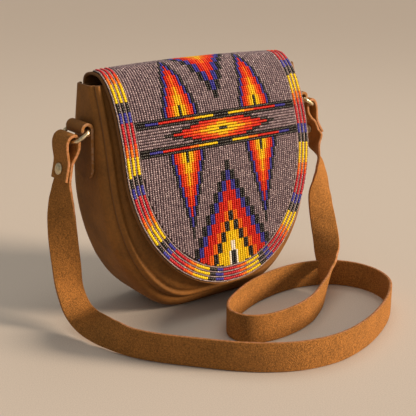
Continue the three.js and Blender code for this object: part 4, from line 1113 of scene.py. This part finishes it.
class BAG_OT_rings(bpy.types.Operator):
    """D-rings held by the tabs"""
    bl_idname = "bag.rings"
    bl_label = "D-rings"

    def execute(self, context):
        """Each ring is wire bent to a D: a straight bar with round corners, and a flattened bow."""
        turn = np.linspace(0, np.pi / 2, 9)
        corner = RING_CORNER * np.stack([np.sin(turn), 1 - np.cos(turn)], -1) + (RING_HALF - RING_CORNER, 0)
        turn = np.linspace(0, np.pi, 97)[1:-1]
        bow = np.stack([RING_HALF * np.sign(np.cos(turn)) * np.sqrt(np.abs(np.cos(turn))),
                        RING_CORNER + (RING_DEPTH - RING_CORNER) * np.sqrt(np.sin(turn))], -1)
        loop = np.concatenate([corner, bow, (corner * (-1, 1))[::-1], corner[:1]])
        run = running_length(loop)
        along, down = at_length(np.linspace(0, run[-1], 96, endpoint=False), run, loop).T
        angle = np.linspace(0, 2 * np.pi, 14, endpoint=False)
        section = context.scene.bag_sizes.ring_wire / MM / 2 * np.stack([np.cos(angle), np.sin(angle)], -1)
        for word, side in SIDES:
            line = ring_place(side, 0.0, down, along)
            ahead = unit(np.roll(line, -1, 0) - np.roll(line, 1, 0))
            across = np.tile(ring_place(side, 1.0, 0, 0) - ring_place(side, 0.0, 0, 0), (len(line), 1))
            piece = skin(f"ring_{word}_wire", swept(line, ahead, across, section), [nickel()], closed=True)
            ride(piece, f"ring_{word}", "nickel", f"d_ring_{word}")
        return {"FINISHED"}


class BAG_PT_panel(bpy.types.Panel):
    """Lists the makers and settings of the bag"""
    bl_idname = "BAG_PT_panel"
    bl_label = "Beaded Crossbody Bag"
    bl_space_type = "VIEW_3D"
    bl_region_type = "UI"
    bl_category = "Bag"

    def draw(self, context):
        for maker in MAKERS:
            self.layout.operator(maker.bl_idname)
        for group in (context.scene.bag_sizes, context.scene.bag_colours):
            box = self.layout.box()
            for name in group.bl_rna.properties.keys():
                if name not in ("rna_type", "name"):
                    box.prop(group, name)


MAKERS = (BAG_OT_stage, BAG_OT_strap, BAG_OT_body, BAG_OT_flap, BAG_OT_beads, BAG_OT_tabs, BAG_OT_rings)
CLASSES = (BagSizes, BagColours) + MAKERS + (BAG_PT_panel,)


def register():
    for each in CLASSES:
        bpy.utils.register_class(each)
    bpy.types.Scene.bag_sizes = bpy.props.PointerProperty(type=BagSizes)
    bpy.types.Scene.bag_colours = bpy.props.PointerProperty(type=BagColours)


def unregister():
    del bpy.types.Scene.bag_colours
    del bpy.types.Scene.bag_sizes
    for each in reversed(CLASSES):
        bpy.utils.unregister_class(each)


def main():
    register()
    bpy.ops.bag.stage()
    bpy.ops.bag.strap()
    bpy.ops.bag.body()
    bpy.ops.bag.flap()
    bpy.ops.bag.beads()
    bpy.ops.bag.tabs()
    bpy.ops.bag.rings()
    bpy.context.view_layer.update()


if __name__ == "__main__":
    main()
